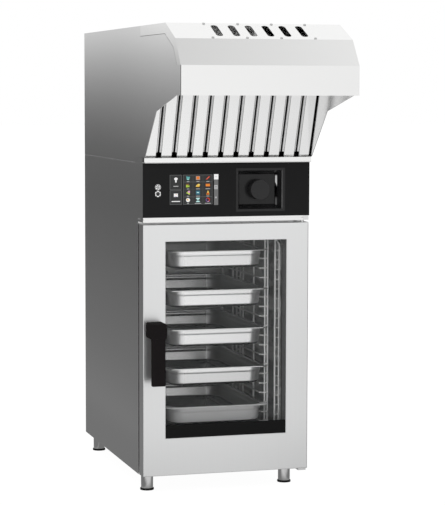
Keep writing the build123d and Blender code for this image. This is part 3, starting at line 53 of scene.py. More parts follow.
class Number:
    """A value running through a material. Sums and products on it add Math nodes."""

    def __init__(self, finish, link):
        self.finish = finish
        self.link = link

    def maths(self, operation, *values):
        made = self.finish.node("ShaderNodeMath", {"operation": operation}, dict(enumerate(values)))
        return Number(self.finish, made.outputs[0])

    def __add__(self, other):
        return self.maths("ADD", self, other)

    def __sub__(self, other):
        return self.maths("SUBTRACT", self, other)

    def __rsub__(self, other):
        return self.maths("SUBTRACT", other, self)

    def __mul__(self, other):
        return self.maths("MULTIPLY", self, other)

    def __truediv__(self, other):
        return self.maths("DIVIDE", self, other)

    def __abs__(self):
        return self.maths("ABSOLUTE", self)

    __radd__ = __add__
    __rmul__ = __mul__

    def rise(self, low, high):
        """0 below low, 1 above high and a smooth step between them."""
        made = self.finish.node(
            "ShaderNodeMapRange", {"interpolation_type": "SMOOTHSTEP"},
            {"Value": self, "From Min": low, "From Max": high},
        )
        return Number(self.finish, made.outputs["Result"])

    def curve(self, stops):
        """The level read off a line through (value, level) stops."""
        low, high = stops[0][0], stops[-1][0]
        ramp = self.finish.node("ShaderNodeValToRGB", None, {0: (self - low) * (1 / (high - low))})
        points = ramp.color_ramp.elements
        while len(points) < len(stops):
            points.new(0.5)
        for point, (value, tone) in zip(points, stops):
            point.position = (value - low) / (high - low)
            point.color = (tone, tone, tone, 1)
        return Number(self.finish, ramp.outputs["Color"])


class Nodes:
    """A node tree with one way to add a node."""

    def __init__(self, tree):
        self.tree = tree

    def feed(self, socket, value):
        if isinstance(value, Number):
            self.tree.links.new(value.link, socket)
        elif isinstance(value, bpy.types.NodeSocket):
            self.tree.links.new(value, socket)
        else:
            socket.default_value = value

    def node(self, kind, settings=None, inputs=None):
        """Any node: its settings first, then the values or links of its sockets."""
        made = self.tree.nodes.new(kind)
        for name, value in (settings or {}).items():
            setattr(made, name, value)
        for name, value in (inputs or {}).items():
            self.feed(made.inputs[name], value)
        return made

    def number(self, kind, output, settings=None, inputs=None):
        return Number(self, self.node(kind, settings, inputs).outputs[output])

    def place(self, scale=(1, 1, 1), offset=(0, 0, 0), source="Object"):
        """Object coordinates, stretched and shifted."""
        coordinates = self.node("ShaderNodeTexCoord").outputs[source]
        inputs = {"Vector": coordinates, "Scale": scale, "Location": offset}
        mapping = self.node("ShaderNodeMapping", None, inputs)
        return mapping.outputs["Vector"]

    def axes(self, source="Object"):
        """The three coordinates of a point, or of a direction in the world."""
        split = self.node("ShaderNodeSeparateXYZ", None, {0: self.place(source=source)})
        return [Number(self, split.outputs[name]) for name in "XYZ"]

    def noise(self, scale=(1, 1, 1), size=1.0, detail=2.0, rough=0.5, offset=(0, 0, 0)):
        inputs = {"Vector": self.place(scale, offset), "Scale": size, "Detail": detail, "Roughness": rough}
        return self.number("ShaderNodeTexNoise", "Fac", None, inputs)

    def blend(self, share, first, second):
        """A colour between two, by a share from 0 to 1."""
        inputs = {"Factor": share, 6: self.paint(first), 7: self.paint(second)}
        return self.node("ShaderNodeMix", {"data_type": "RGBA"}, inputs).outputs[2]

    @staticmethod
    def paint(colour):
        return colour if isinstance(colour, bpy.types.NodeSocket) else (*colour, 1.0)


class Finish(Nodes):
    """A material with one Principled shader, whose fixed numbers sit straight on its sockets."""

    def __init__(self, name, colour, **fixed):
        self.material = bpy.data.materials.new(name)
        self.material.use_nodes = True
        super().__init__(self.material.node_tree)
        self.shader = self.tree.nodes["Principled BSDF"]
        self.feed(self.shader.inputs["Base Color"], (*colour, 1.0))
        self.vary(**fixed)

    def vary(self, **sockets):
        for name, value in sockets.items():
            self.feed(self.shader.inputs[name.replace("_", " ")], value)

    def base_colour(self):
        """What feeds the base colour so far."""
        return self.shader.inputs["Base Color"].links[0].from_socket

    def surface(self, output):
        """Another shader in the place of the Principled one."""
        self.feed(self.tree.nodes["Material Output"].inputs["Surface"], output)

    def relief(self, height, depth, strength=1.0):
        made = self.node("ShaderNodeBump", None, {"Height": height, "Distance": depth, "Strength": strength})
        self.feed(self.shader.inputs["Normal"], made.outputs["Normal"])


def shade(colour, factor):
    return tuple(min(1.0, part * factor) for part in colour)


# Finishes

GRAIN = {"X": (5, 900, 900), "Y": (900, 5, 900), "Z": (900, 900, 5)}
GRAIN_GLOSS = 0.06
GRAIN_TONE = 0.025
GRAIN_DEPTH = 0.00001
CLOUD_GLOSS = 0.1
PLASTIC_TONE = 0.1
PLASTIC_GLOSS = 0.1


def brushed(name, colour, roughness, along, wear=0.3, **fixed):
    """Sheet steel with a fine grain along one axis and a very faint, slow change of gloss."""
    steel = Finish(name, colour, Metallic=1.0, **fixed)
    grain = steel.noise(GRAIN[along], 1.0, 3.0, 0.65)
    cloud = steel.noise((1, 1, 1), 3.0, 2.0, 0.5)
    steel.vary(Base_Color=steel.blend(grain, shade(colour, 1 - GRAIN_TONE), shade(colour, 1 + GRAIN_TONE)))
    least = roughness - GRAIN_GLOSS / 2 - CLOUD_GLOSS / 2 * wear
    steel.vary(Roughness=least + grain * GRAIN_GLOSS + cloud * (CLOUD_GLOSS * wear))
    steel.relief(grain, GRAIN_DEPTH, 0.15)
    return steel


def moulded(name, colour, roughness, texture=400.0, depth=0.00002, **fixed):
    """Plastic or paint with a fine leathery grain."""
    plastic = Finish(name, colour, **fixed)
    pebble = plastic.noise((1, 1, 1), texture, 3.0, 0.6)
    cloud = plastic.noise((1, 1, 1), 9.0, 3.0, 0.55, (1, 2, 3))
    darker, lighter = shade(colour, 1 - PLASTIC_TONE), shade(colour, 1 + PLASTIC_TONE)
    plastic.vary(Base_Color=plastic.blend(cloud, darker, lighter))
    plastic.vary(Roughness=roughness - PLASTIC_GLOSS / 2 + cloud * PLASTIC_GLOSS)
    plastic.relief(pebble, depth, 0.5)
    return plastic


FILTER_STEEL = (0.98, 0.98, 0.975)
BAFFLE_PITCH = 47.6 * MM
FOLD = 7.8 * MM
FILTER_LEAN = math.radians(21)
FILTER_PLANE = -167.5 * MM
FOLD_LINE = (0.3 * MM, 1.1 * MM)
FOLD_SHADE = 0.3
LIP_DEPTH = (0.2 * MM, 0.8 * MM)
LIP_MATT = 0.95
BEHIND_LIPS = (3.8 * MM, 4.6 * MM)
BEHIND_SHADE = 0.13


def folded_filter():
    """Filter steel with a thin line of painted shade at every fold, matt lips beside every slot and painted
    shade behind the lips.

    Slots lie half a pitch off whole pitches. Depth is measured square to the leaning front.
    """
    steel = brushed("filter_steel", FILTER_STEEL, 0.16, "Z")
    x, y, z = steel.axes()
    depth = y * math.cos(FILTER_LEAN) + z * math.sin(FILTER_LEAN) + FILTER_PLANE
    turns = x * (1 / BAFFLE_PITCH) + 0.5
    from_slot = abs(turns - turns.maths("ROUND", turns)) * BAFFLE_PITCH
    # Painted shade: a thin dark line along every fold, standing for shade in the bends.
    painted_fold_shade = 1.0 - abs(from_slot - FOLD).rise(*FOLD_LINE)
    lip = depth.rise(*LIP_DEPTH)
    # Painted shade: the steel behind the lips is darkened, standing for the shadow inside each slot.
    behind = depth.rise(*BEHIND_LIPS)
    plain = steel.base_colour()
    fold_shaded = steel.blend(painted_fold_shade, plain, shade(FILTER_STEEL, FOLD_SHADE))
    steel.vary(Base_Color=steel.blend(behind, fold_shaded, shade(FILTER_STEEL, BEHIND_SHADE)))
    steel.vary(Metallic=1.0 - lip * (1.0 - behind) * LIP_MATT)
    return steel


SIDE_STEEL = (0.8, 0.8, 0.8)
DOOR_STEEL = (0.845, 0.85, 0.85)
HOOD_STEEL = (0.9, 0.9, 0.895)
JOINT_EDGE = 258.2 * MM
JOINT_WIDTH = 0.3 * MM
JOINT_SHADE = 0.12


def jointed(name, colour, roughness, along):
    """Brushed steel with a dark hairline joint down its left edge."""
    steel = brushed(name, colour, roughness, along)
    joint = 1.0 - steel.axes()[0].rise(-JOINT_EDGE, JOINT_WIDTH - JOINT_EDGE)
    plain = steel.base_colour()
    steel.vary(Base_Color=steel.blend(joint, plain, shade(colour, JOINT_SHADE)))
    return steel


PAN_STEEL = (0.98, 0.98, 0.98)
PAN_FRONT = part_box("pan_1")[0][1]
PAN_PITCH = 60 * MM
PAN_TOPS = sorted(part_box(f"pan_{number}")[1][2] for number in range(1, 6))
OVER_RIM = 0.5 * MM
UNDER_RIM = (3 * MM, 5 * MM)
PAN_FOOT = (48 * MM, 51 * MM)
FOOT_SHADE = 0.08
INSIDE_SHADE = 0.5
ROUND_ENDS = (95 * MM, 125 * MM)
FRONT_GLOSS = 0.15
ENDS_DULLER = 0.28
LOWEST_DULLER = 0.3
LOWEST_MATT = 0.75


def deep_drawn():
    """Pan steel: bright in front, duller at the rounded ends, with painted shade inside and a painted dark
    band under the foot.

    Drop is the depth below a pan's rim, the same for every pan as they stand one pitch apart.
    """
    steel = brushed("pan_steel", PAN_STEEL, 0.17, "X", 0.1)
    x, y, z = steel.axes()
    below_highest = PAN_TOPS[-1] + OVER_RIM - z
    drop = below_highest.maths("MODULO", below_highest, PAN_PITCH)
    body = drop.rise(*UNDER_RIM)
    inside = y.rise(PAN_FRONT + 20 * MM, PAN_FRONT + 60 * MM)
    foot = drop.rise(*PAN_FOOT)
    lowest = (1.0 - z.rise(PAN_TOPS[0], PAN_TOPS[0] + 1 * MM)) * (1.0 - inside)
    plain = steel.base_colour()
    # Painted shade: the inside of each pan, behind its front, is darkened as if in shade.
    shaded = steel.blend(inside, plain, shade(PAN_STEEL, INSIDE_SHADE))
    # Painted shadow and dark reflection: a dark band along the foot of each pan.
    steel.vary(Base_Color=steel.blend(foot, shaded, shade(PAN_STEEL, FOOT_SHADE)))
    ends = abs(x).rise(*ROUND_ENDS) * body
    grain = steel.noise(GRAIN["X"], 1.0, 3.0, 0.65)
    dull = FRONT_GLOSS + ends * ENDS_DULLER + lowest * (1.0 - ends) * LOWEST_DULLER
    steel.vary(Roughness=dull + grain * 0.05)
    steel.vary(Metallic=1.0 - lowest * (1.0 - foot) * LOWEST_MATT)
    return steel


CAVITY_STEEL = (0.86, 0.86, 0.855)
LINER_MOUTH = -135 * MM
SEAL_SHADOW_WIDTH = 2 * MM
SEAL_SHADOW_BLACK = (0.01, 0.01, 0.01)
STREAK_SCALE = (1, 5, 22)
STREAK_SHADE = 0.5


def streaked():
    """Cavity steel with soft lighter and darker streaks along it, and a painted shadow of the seal along its
    front edge.
    """
    steel = brushed("cavity_steel", CAVITY_STEEL, 0.4, "Y", 0.6)
    streaks = steel.noise(STREAK_SCALE, 1.0, 3.0, 0.55).rise(0.38, 0.62)
    # Painted shadow: the front edge of the liner is darkened where the seal shades it.
    seal_shadow = 1.0 - steel.axes()[1].rise(LINER_MOUTH, LINER_MOUTH + SEAL_SHADOW_WIDTH)
    plain = steel.base_colour()
    streaky = steel.blend(streaks, shade(CAVITY_STEEL, STREAK_SHADE), plain)
    steel.vary(Base_Color=steel.blend(seal_shadow, streaky, SEAL_SHADOW_BLACK))
    return steel


side_steel = brushed("side_steel", SIDE_STEEL, 0.17, "Y")
door_steel = brushed("door_steel", DOOR_STEEL, 0.31, "Z")
frame_steel = brushed("frame_steel", (0.8, 0.8, 0.8), 0.24, "Z")
hood_steel = brushed("hood_steel", HOOD_STEEL, 0.17, "X")
fascia_steel = jointed("fascia_steel", HOOD_STEEL, 0.17, "X")
filter_steel = folded_filter()
cavity_steel = streaked()
pan_steel = deep_drawn()
wire_steel = brushed("wire_steel", (0.97, 0.97, 0.96), 0.32, "Y")
wire_steel.vary(Metallic=0.45)
bright_steel = brushed("bright_steel", (0.9, 0.9, 0.895), 0.12, "X")
leg_steel = brushed("leg_steel", (0.84, 0.84, 0.84), 0.1, "Z", 0.2)
screw_steel = brushed("screw_steel", (0.5, 0.5, 0.5), 0.3, "X")
cast_steel = brushed("cast_steel", (0.5, 0.5, 0.49), 0.35, "Z", 1.0)
handle_plastic = moulded(
    "handle_plastic", (0.0125, 0.0108, 0.0112), 0.75, depth=0.000005, Specular_IOR_Level=0.03
)
knob_plastic = moulded("knob_plastic", (0.024, 0.024, 0.0245), 0.5, Specular_IOR_Level=0.3)
foot_plastic = moulded("foot_plastic", (0.008, 0.008, 0.008), 0.5, Specular_IOR_Level=0.3)
seal_rubber = moulded("seal_rubber", (0.009, 0.009, 0.009), 0.6, 250.0)
spacer_plastic = moulded("spacer_plastic", (0.14, 0.14, 0.14), 0.4)
wool = moulded("wool", (0.62, 0.54, 0.36), 0.9, 120.0, 0.002)
motor_paint = moulded("motor_paint", (0.02, 0.022, 0.024), 0.4, 300.0)
fitting_plastic = moulded("fitting_plastic", (0.05, 0.055, 0.07), 0.4)
board_resin = moulded("board_resin", (0.01, 0.09, 0.035), 0.35)

panel_glass = Finish("panel_glass", (0.0125, 0.0125, 0.0128), Specular_IOR_Level=0.08)
panel_glass.vary(Roughness=0.08 + panel_glass.noise((1, 1, 1), 14.0, 4.0, 0.6) * 0.05)
screen_glass = Finish("screen_glass", (0.008, 0.008, 0.0085), Specular_IOR_Level=0.08)
screen_glass.vary(Roughness=0.06 + screen_glass.noise((1, 1, 1), 22.0, 3.0, 0.6) * 0.05)
RECESS_BLACK = (0.016, 0.016, 0.0165)
EDGE_HIGHLIGHT_GREY = (0.2, 0.2, 0.2)
EDGE_RIGHT = (0.172, 0.1724)
EDGE_FRONT = (-0.205, -0.2047)
EDGE_BACK = (-0.2005, -0.1995)
recess_plastic = Finish("recess_plastic", RECESS_BLACK, Specular_IOR_Level=0.3)
recess_plastic.vary(Roughness=0.16 + recess_plastic.noise((1, 1, 1), 30.0) * 0.12)
recess_x, recess_y, _ = recess_plastic.axes()
# Painted highlight: a thin grey line on the right edge of the recess's mouth, standing for light caught by
# the edge.
mouth_edge_highlight = recess_x.rise(*EDGE_RIGHT) * (1.0 - recess_y.rise(*EDGE_BACK)) * recess_y.rise(*EDGE_FRONT)
recess_plastic.vary(Base_Color=recess_plastic.blend(mouth_edge_highlight, RECESS_BLACK, EDGE_HIGHLIGHT_GREY))
# Painted reflection: the bevel's colour by height stands for a bright reflection above the knob, a dim one
# below it and the knob's dark reflection between them.
BEVEL_REFLECTION_LEVELS = [
    (0.87, 0.08), (0.888, 0.07), (0.896, 0.0), (0.925, 0.0), (0.934, 0.5), (0.957, 0.45), (0.962, 0.0),
]
bevel_reflection = Finish("bevel_reflection", (0.5, 0.5, 0.5), Metallic=1.0)
bevel_reflection_shade = bevel_reflection.axes()[2].curve(BEVEL_REFLECTION_LEVELS)
bevel_reflection.vary(Base_Color=bevel_reflection.blend(bevel_reflection_shade, (0.003, 0.003, 0.003), (1.0, 1.0, 1.0)))
bevel_reflection.vary(Roughness=0.03 + bevel_reflection.noise((1, 1, 1), 60.0) * 0.03)
window_glass = Finish("window_glass", (0.9, 0.93, 0.93), Roughness=0.03, Metallic=1.0)
window_glass.vary(Alpha=window_glass.number("ShaderNodeFresnel", 0, None, {"IOR": 1.35}) * 0.5)
band_enamel = Finish("band_enamel", (0.0035, 0.0035, 0.0035), Specular_IOR_Level=0.12)
band_enamel.vary(Roughness=0.2 + band_enamel.noise((1, 1, 1), 40.0, 3.0, 0.6) * 0.08)

screen_light = Finish("screen_light", (0.02, 0.02, 0.02), Emission_Strength=1.0, Specular_IOR_Level=0.1)
ink = screen_light.node("ShaderNodeAttribute", {"attribute_name": "ink"}).outputs["Color"]
pixels = screen_light.noise((1, 1, 1), 2500.0, 0.0) * 0.12
screen_light.vary(Roughness=0.3 + pixels)
screen_light.vary(Emission_Color=screen_light.blend(pixels, ink, (0.0, 0.0, 0.0)))

FINISHES = {
    side_steel: "side_panel_left side_panel_right hood_side_left hood_side_right",
    door_steel: "door_frame",
    frame_steel: "front_frame rear_panel base_panel top_panel hinge_brackets",
    fascia_steel: "hood_fascia",
    hood_steel: "hood_cover hood_shell mouth_ceiling drip_lip blower_housing",
    filter_steel: "baffle_filter",
    cavity_steel: "cavity_liner fan_baffle fan_upper fan_lower steam_pipe vent_pipe blower_wheel",
    pan_steel: "pan_1 pan_2 pan_3 pan_4 pan_5",
    wire_steel: "rack_left rack_right",
    bright_steel: "trim_strip encoder_shaft latch_keeper latch_cam",
    screw_steel: "hood_screws",
    leg_steel: "leg_tubes",
    cast_steel: "heating_element cavity_drain",
    handle_plastic: "door_handle handle_rose",
    knob_plastic: "control_knob",
    foot_plastic: "foot_1 foot_2 foot_3 foot_4",
    seal_rubber: "door_gasket",
    spacer_plastic: "glass_spacer",
    wool: "insulation",
    motor_paint: "fan_motors blower_motor",
    fitting_plastic: "rear_connections encoder_body",
    board_resin: "control_board",
    panel_glass: "control_fascia",
    screen_glass: "touchscreen",
    recess_plastic: "knob_recess",
    window_glass: "outer_glass inner_glass",
}
for finish, names in FINISHES.items():
    for name in names.split():
        node = nodes[name]
        node.data.materials.clear()
        node.data.materials.append(finish.material)


# Surface making


def piece(name, points, faces, finish, body, smooth=True, replaced=()):
    """One mesh from its points and faces, riding on a body."""
    mesh = bpy.data.meshes.new(name)
    mesh.from_pydata(np.asarray(points, float).tolist(), [], faces)
    mesh.materials.append(finish.material)
    mesh.polygons.foreach_set("use_smooth", np.full(len(mesh.polygons), smooth))
    mesh.update()
    made = bpy.data.objects.new(name, mesh)
    bpy.context.scene.collection.objects.link(made)
    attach(made, body)
    if replaced:
        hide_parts(*replaced)
    return made


def net(rows, columns):
    """Quads of a grid of rows that each close on themselves, as lists of point numbers."""
    row, column = np.meshgrid(np.arange(rows - 1), np.arange(columns), indexing="ij")
    after = (column + 1) % columns
    first, second = row * columns, (row + 1) * columns
    quads = np.stack([first + column, first + after, second + after, second + column], -1)
    return quads.reshape(-1, 4).tolist()


def rounded_rings(half_width, half_length, corner, height, steps=10):
    """Rings of a lofted tub, one for each row of the four arrays.

    A ring is a rectangle of the two half sizes whose corners are arcs: each point is the corner's centre,
    (half size - corner radius) with the quadrant's signs, plus the radius times (cos, sin) of the turn.
    """
    quadrant = np.repeat(np.arange(4), steps + 1)
    turn = (quadrant + np.tile(np.linspace(0, 1, steps + 1), 4)) * math.pi / 2
    sign_x = np.array([1, -1, -1, 1])[quadrant]
    sign_y = np.array([1, 1, -1, -1])[quadrant]
    radius = np.asarray(corner)[:, None]
    x = (np.asarray(half_width)[:, None] - radius) * sign_x + radius * np.cos(turn)
    y = (np.asarray(half_length)[:, None] - radius) * sign_y + radius * np.sin(turn)
    z = np.broadcast_to(np.asarray(height)[:, None], x.shape)
    return np.stack([x, y, z], -1)


def prism(outline, lift, thickness, number=0):
    """A thin plate seen from the front: an outline of (x, z) points, a copy of it pushed back, and walls.

    The points run anticlockwise as seen from the front. Faces are numbered from the given first point.
    """
    outline = np.asarray(outline, float)
    count = len(outline)
    front = np.stack([outline[:, 0], np.full(count, lift), outline[:, 1]], -1)
    behind = front + [0, thickness, 0]
    turn = np.arange(count)
    after = (turn + 1) % count
    walls = np.stack([turn, turn + count, after + count, after], -1) + number
    faces = [(turn + number).tolist(), (turn[::-1] + count + number).tolist(), *walls.tolist()]
    return np.concatenate([front, behind]), faces


def oblong(x, z, width, height):
    """Corners of an upright rectangle about a centre."""
    return np.array([(-0.5, -0.5), (0.5, -0.5), (0.5, 0.5), (-0.5, 0.5)]) * (width, height) + (x, z)


def disc(x, z, radius, count=20, squash=1.0):
    """Points round a circle: centre plus radius times (cos, sin)."""
    turn = np.linspace(0, 2 * math.pi, count, endpoint=False)
    return np.stack([x + radius * np.cos(turn), z + radius * squash * np.sin(turn)], -1)


def sector(x, z, inner, outer, start, end, count=12):
    """Outline of part of a ring: out along one arc and back along the other."""
    turn = np.radians(np.linspace(start, end, count))
    far = np.stack([x + outer * np.cos(turn), z + outer * np.sin(turn)], -1)
    near = np.stack([x + inner * np.cos(turn), z + inner * np.sin(turn)], -1)
    return np.concatenate([far, near[::-1]])


def plates(name, shapes, face, finish, body):
    """Thin coloured plates on an upright face. Each is (colour, layer, outline in millimetres)."""
    points, faces, inks = [], [], []
    number = 0
    for colour, layer, outline in shapes:
        height = (layer + 1) * LAYER
        plate, plate_faces = prism(np.asarray(outline) * MM, face - height, height, number)
        points.append(plate)
        faces += plate_faces
        inks.append(np.tile((*colour, 1.0), (len(plate), 1)))
        number += len(plate)
    made = piece(name, np.concatenate(points), faces, finish, body, smooth=False)
    ink_layer = made.data.attributes.new("ink", "FLOAT_COLOR", "POINT")
    ink_layer.data.foreach_set("color", np.concatenate(inks).ravel())
    return made


# Pans

PAN_HALF_WIDTH = 162.5 * MM
PAN_HALF_LENGTH = 265 * MM
RIM_CORNER = 20 * MM
BODY_CORNER = 46 * MM
BODY_INSET = 13 * MM
PAN_TAPER = 4.0
WALL_SLOPE = math.degrees(math.atan2(PAN_TAPER, 37))


def arc(centre, radius, start, end, steps):
    """Points of an arc: centre plus radius times (cos, sin), from the start to the end angle in degrees."""
    turn = np.radians(np.linspace(start, end, steps))
    return np.stack([centre[0] + radius * np.cos(turn), centre[1] + radius * np.sin(turn)], -1)


def pan_profile():
    """Inset from the rim and height below it: up the outside, over the rim, down to the inner base."""
    outside = np.concatenate([
        [(60, -56)],
        arc((29.77, -44), 12, -90, -180 + WALL_SLOPE, 8),
        [(15.3, -20.6), (15, -19.2)],
        arc((12.4, -18.6), 2.4, -15, 15, 4)[1:-1],
        [(13, -16.6), (13, -10)],
        arc((11.4, -2.8), 1.6, 0, 90, 5),
        arc((2.4, -2.4), 1.2, 90, 180, 4),
        arc((0.6, -2.6), 0.6, 0, -180, 5),
        arc((2.4, -2.4), 2.4, 180, 90, 5),
    ])
    inside = np.concatenate([
        arc((10.6, -3.6), 3.6, 90, 0, 7),
        [(14.2, -10), (14.2, -17), (16.2, -19.6), (16.5, -21.4)],
        arc((29.77, -44), 10.8, -180 + WALL_SLOPE, -90, 8),
        [(60, -54.8)],
    ])
    return np.concatenate([outside, inside]) * MM


def gastro_pan(name, node):
    """Deep-drawn pan: rounded rectangles swept up the outside, over the rolled rim and down the inside."""
    low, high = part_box(node)
    inset, height = pan_profile().T
    beyond = np.maximum(inset - BODY_INSET, 0)
    share = np.clip(inset / BODY_INSET, 0, 1)
    corner = RIM_CORNER + (BODY_CORNER - RIM_CORNER) * share - 0.75 * beyond
    rings = rounded_rings(PAN_HALF_WIDTH - inset, PAN_HALF_LENGTH - inset, corner, height)
    columns = rings.shape[1]
    points = rings.reshape(-1, 3) + [0, (low[1] + high[1]) / 2, high[2]]
    faces = net(len(rings), columns)
    last = (len(rings) - 1) * columns
    faces += [list(range(columns - 1, -1, -1)), list(range(last, last + columns))]
    return piece(name, points, faces, pan_steel, "cabinet", replaced=(node,))


for index in range(1, 6):
    gastro_pan(f"gastro_pan_{index}", f"pan_{index}")


# Lips of the filter's end slots

END_SLOT = 214.2
LIP_SECTION = [(-9.2, 0), (-7.8, 0), (-2, 5), (-3.2, 5), (-8.4, 1.2), (-9.2, 1.2)]
LIP_RUN = (31, 280)
FILTER_FOOT = (-205.5, 1002.8)


def filter_lips():
    """A folded lip at each end of the filter: its section in x and depth, run up the leaning front."""
    lean = (math.cos(FILTER_LEAN), math.sin(FILTER_LEAN))
    points, faces = [], []
    for side in (1, -1):
        section = np.array(LIP_SECTION[::side], float)
        count = len(section)
        x = (section[:, 0] - END_SLOT) * side
        number = len(points) * count
        for run in LIP_RUN:
            y = FILTER_FOOT[0] + section[:, 1] * lean[0] - run * lean[1]
            z = FILTER_FOOT[1] + section[:, 1] * lean[1] + run * lean[0]
            points.append(np.column_stack([x, y, z]))
        walls = net(2, count) + [list(range(count - 1, -1, -1)), list(range(count, 2 * count))]
        faces += [[corner + number for corner in face] for face in walls]
    points = np.concatenate(points) * MM
    return piece("filter_lips", points, faces, filter_steel, "filter", smooth=False)


filter_lips()


# Screen page and touch icons, all of them plain signs

LAYER = 0.04 * MM
SCREEN_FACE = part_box("touchscreen")[0][1]
PANEL_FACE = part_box("control_fascia")[0][1]
TILE = (0.024, 0.025, 0.025)
LINE = (0.1, 0.102, 0.102)
LABEL = (0.5, 0.5, 0.5)
WHITE = (0.9, 0.9, 0.9)
GREY = (0.16, 0.16, 0.16)
TEAL = (0.12, 0.42, 0.4)
DEEP_TEAL = (0.03, 0.14, 0.2)
PALE_TEAL = (0.5, 0.78, 0.76)
ORANGE = (0.8, 0.2, 0.02)
AMBER = (0.85, 0.45, 0.03)
RED = (0.55, 0.03, 0.01)
LIME = (0.42, 0.6, 0.06)
BROWN = (0.22, 0.1, 0.02)
PINK = (0.75, 0.35, 0.6)
VIOLET = (0.2, 0.08, 0.35)
YELLOW = (0.85, 0.75, 0.25)

COLUMNS = (-121.8, -91.2, -60.6)
ROWS = (955.0, 933.2, 911.6, 889.8)
LABEL_WIDTHS = ((8, 9, 9), (7, 11, 14), (7, 12, 9), (6, 20, 18))
LABEL_DROP = 10.4
TILES = (((-177.3, -142), (921.5, 964.3)), ((-177.3, -142), (877, 918.6)), ((-136.8, -47), (877, 964.3)))
TILE_LINE = 1.5
ROW_LINES = ((943.6, 1.3), (922.2, 0.5), (899.2, 1.3))
COLUMN_LINES = (-106.5, -75.9)


def outline_bars(x, z, line):
    """Four thin bars round an oblong, given by its ends along x and z."""
    width, height = x[1] - x[0], z[1] - z[0]
    middle_x, middle_z = sum(x) / 2, sum(z) / 2
    return [
        oblong(middle_x, z[0], width + line, line), oblong(middle_x, z[1], width + line, line),
        oblong(x[0], middle_z, line, height - line), oblong(x[1], middle_z, line, height - line),
    ]


def page_signs():
    """Sign of each cell in rows from the top, as (colour, layer, outline) about the cell's middle."""
    pot = [(-4, -5), (3, -6), (6, 4), (-5.5, 6)]
    leaf = [(-7, -4.5), (-2, -4.5), (7.5, 4.5), (3, 5)]
    loaf = [(-7, -4), (4, -4.5), (6.5, 2.5), (3.5, 5), (-3, 3)]
    wedge = [(-6, -0.5), (5.5, -6.5), (6, 5.5), (2.5, 6.5)]
    flame = [(-4.5, -6), (4.5, -6.5), (3.5, 1), (0.5, 7), (-2.5, 0)]
    top_glass = [(-2, 0.2), (2, 0.2), (6.5, 5), (5, 6.5), (-5, 6.5), (-6.5, 5)]
    foot_glass = [(-6.5, -6.5), (6.5, -6.5), (5, -3.5), (1.5, -1.8), (-1.5, -1.8), (-5, -3.5)]
    return [
        [(TEAL, 2, pot), (PALE_TEAL, 3, oblong(0, -3.5, 5, 1.6)), (DEEP_TEAL, 3, oblong(0.3, 4.2, 10, 1.4))],
        [((0.45, 0.3, 0.25), 2, oblong(0, 0, 12.5, 11.5)), (ORANGE, 3, oblong(0, 0.4, 8.5, 8.0))],
        [(RED, 2, leaf), ((0.75, 0.2, 0.12), 3, [(-5, -3.6), (-3, -3.6), (4.5, 3.2), (3, 3.4)])],
        [
            (BROWN, 2, oblong(-1.5, 2.8, 9, 4)), (LIME, 3, oblong(-3.2, -2, 5.5, 7)),
            (LIME, 3, oblong(2.2, -2.4, 4, 5)),
        ],
        [(AMBER, 2, loaf), (YELLOW, 3, disc(3, 1.6, 2.4)), (YELLOW, 3, disc(-3.6, -1.6, 1.8))],
        [(ORANGE, 2, oblong(0, 0.6, 13, 7.6)), (AMBER, 3, oblong(0, 0.6, 13, 1.0))],
        [(LIME, 2, wedge), (PINK, 3, disc(2.6, 2.6, 3.4)), (YELLOW, 3, [(-3, -1.4), (4.4, -5), (4.4, -2.6)])],
        [(DEEP_TEAL, 2, oblong(0, 0, 12.5, 12)), (PALE_TEAL, 3, oblong(-0.3, 0.3, 7, 2.8))],
        [(AMBER, 2, flame), (RED, 3, disc(0, -3.4, 3.0)), (YELLOW, 3, [(-1.4, 0), (1.8, 0), (0.5, 5.5)])],
        [(WHITE, 2, disc(0, 0, 6.2)), (AMBER, 3, disc(-1.4, 1.2, 2.4)), (YELLOW, 3, disc(2.6, -2.6, 1.2))],
        [(PALE_TEAL, 2, top_glass), (PALE_TEAL, 2, foot_glass)],
        [
            (RED, 2, sector(0, 0, 3.6, 6.6, -40, 120)), (VIOLET, 2, sector(0, 0, 4.4, 6.2, 130, 250)),
            (PINK, 2, sector(0, 0, 4.4, 6.2, 255, 315)),
        ],
    ]


def screen_page():
    """Two tall tiles, a page of twelve small signs and a status column."""
    shapes = []
    for x, z in TILES:
        shapes.append((TILE, 0, oblong(sum(x) / 2, sum(z) / 2, x[1] - x[0], z[1] - z[0])))
        shapes += [(LINE, 1, bar) for bar in outline_bars(x, z, TILE_LINE)]
    for z, line in ROW_LINES:
        shapes.append((LINE, 1, oblong(-91.9, z, 88, line)))
    for x in COLUMN_LINES:
        shapes.append((LINE, 1, oblong(x, 920.6, 0.5, 85)))
    for number, sign in enumerate(page_signs()):
        row, column = divmod(number, 3)
        centre = np.array([COLUMNS[column], ROWS[row]])
        shapes += [(colour, layer, np.asarray(outline, float) + centre) for colour, layer, outline in sign]
        width = LABEL_WIDTHS[row][column]
        shapes.append((LABEL, 2, oblong(centre[0], centre[1] - LABEL_DROP, width, 1.7)))
    shapes += [
        (WHITE, 2, disc(-159.2, 953.2, 5.6, squash=0.75)), (WHITE, 2, oblong(-159.2, 946, 4.6, 7)),
        (LABEL, 2, oblong(-159.2, 931.2, 15, 2.2)),
        (WHITE, 2, oblong(-159.2, 904.6, 12.5, 10)), (VIOLET, 3, oblong(-159.2, 900.4, 8, 0.8)),
        (ORANGE, 3, disc(-158.4, 906.6, 1.2)), (WHITE, 2, oblong(-159.2, 886.2, 26, 2.6)),
        (GREY, 1, oblong(-34.8, 912, 13, 76)), (WHITE, 2, oblong(-34.8, 958.2, 13.6, 15.8)),
        (LABEL, 3, oblong(-35.4, 958.6, 5, 1.6)), (LABEL, 2, oblong(-35.4, 927.4, 10.5, 12)),
        (GREY, 3, oblong(-35.4, 929.4, 6, 1.6)), (GREY, 3, oblong(-35.4, 924.8, 6, 1.6)),
        (LABEL, 2, disc(-35.4, 896.6, 2.6)),
    ]
    return plates("screen_page", shapes, SCREEN_FACE, screen_light, "cabinet")


TOUCH_X = -214.0
TOUCH_Z = (909.2, 928.8)


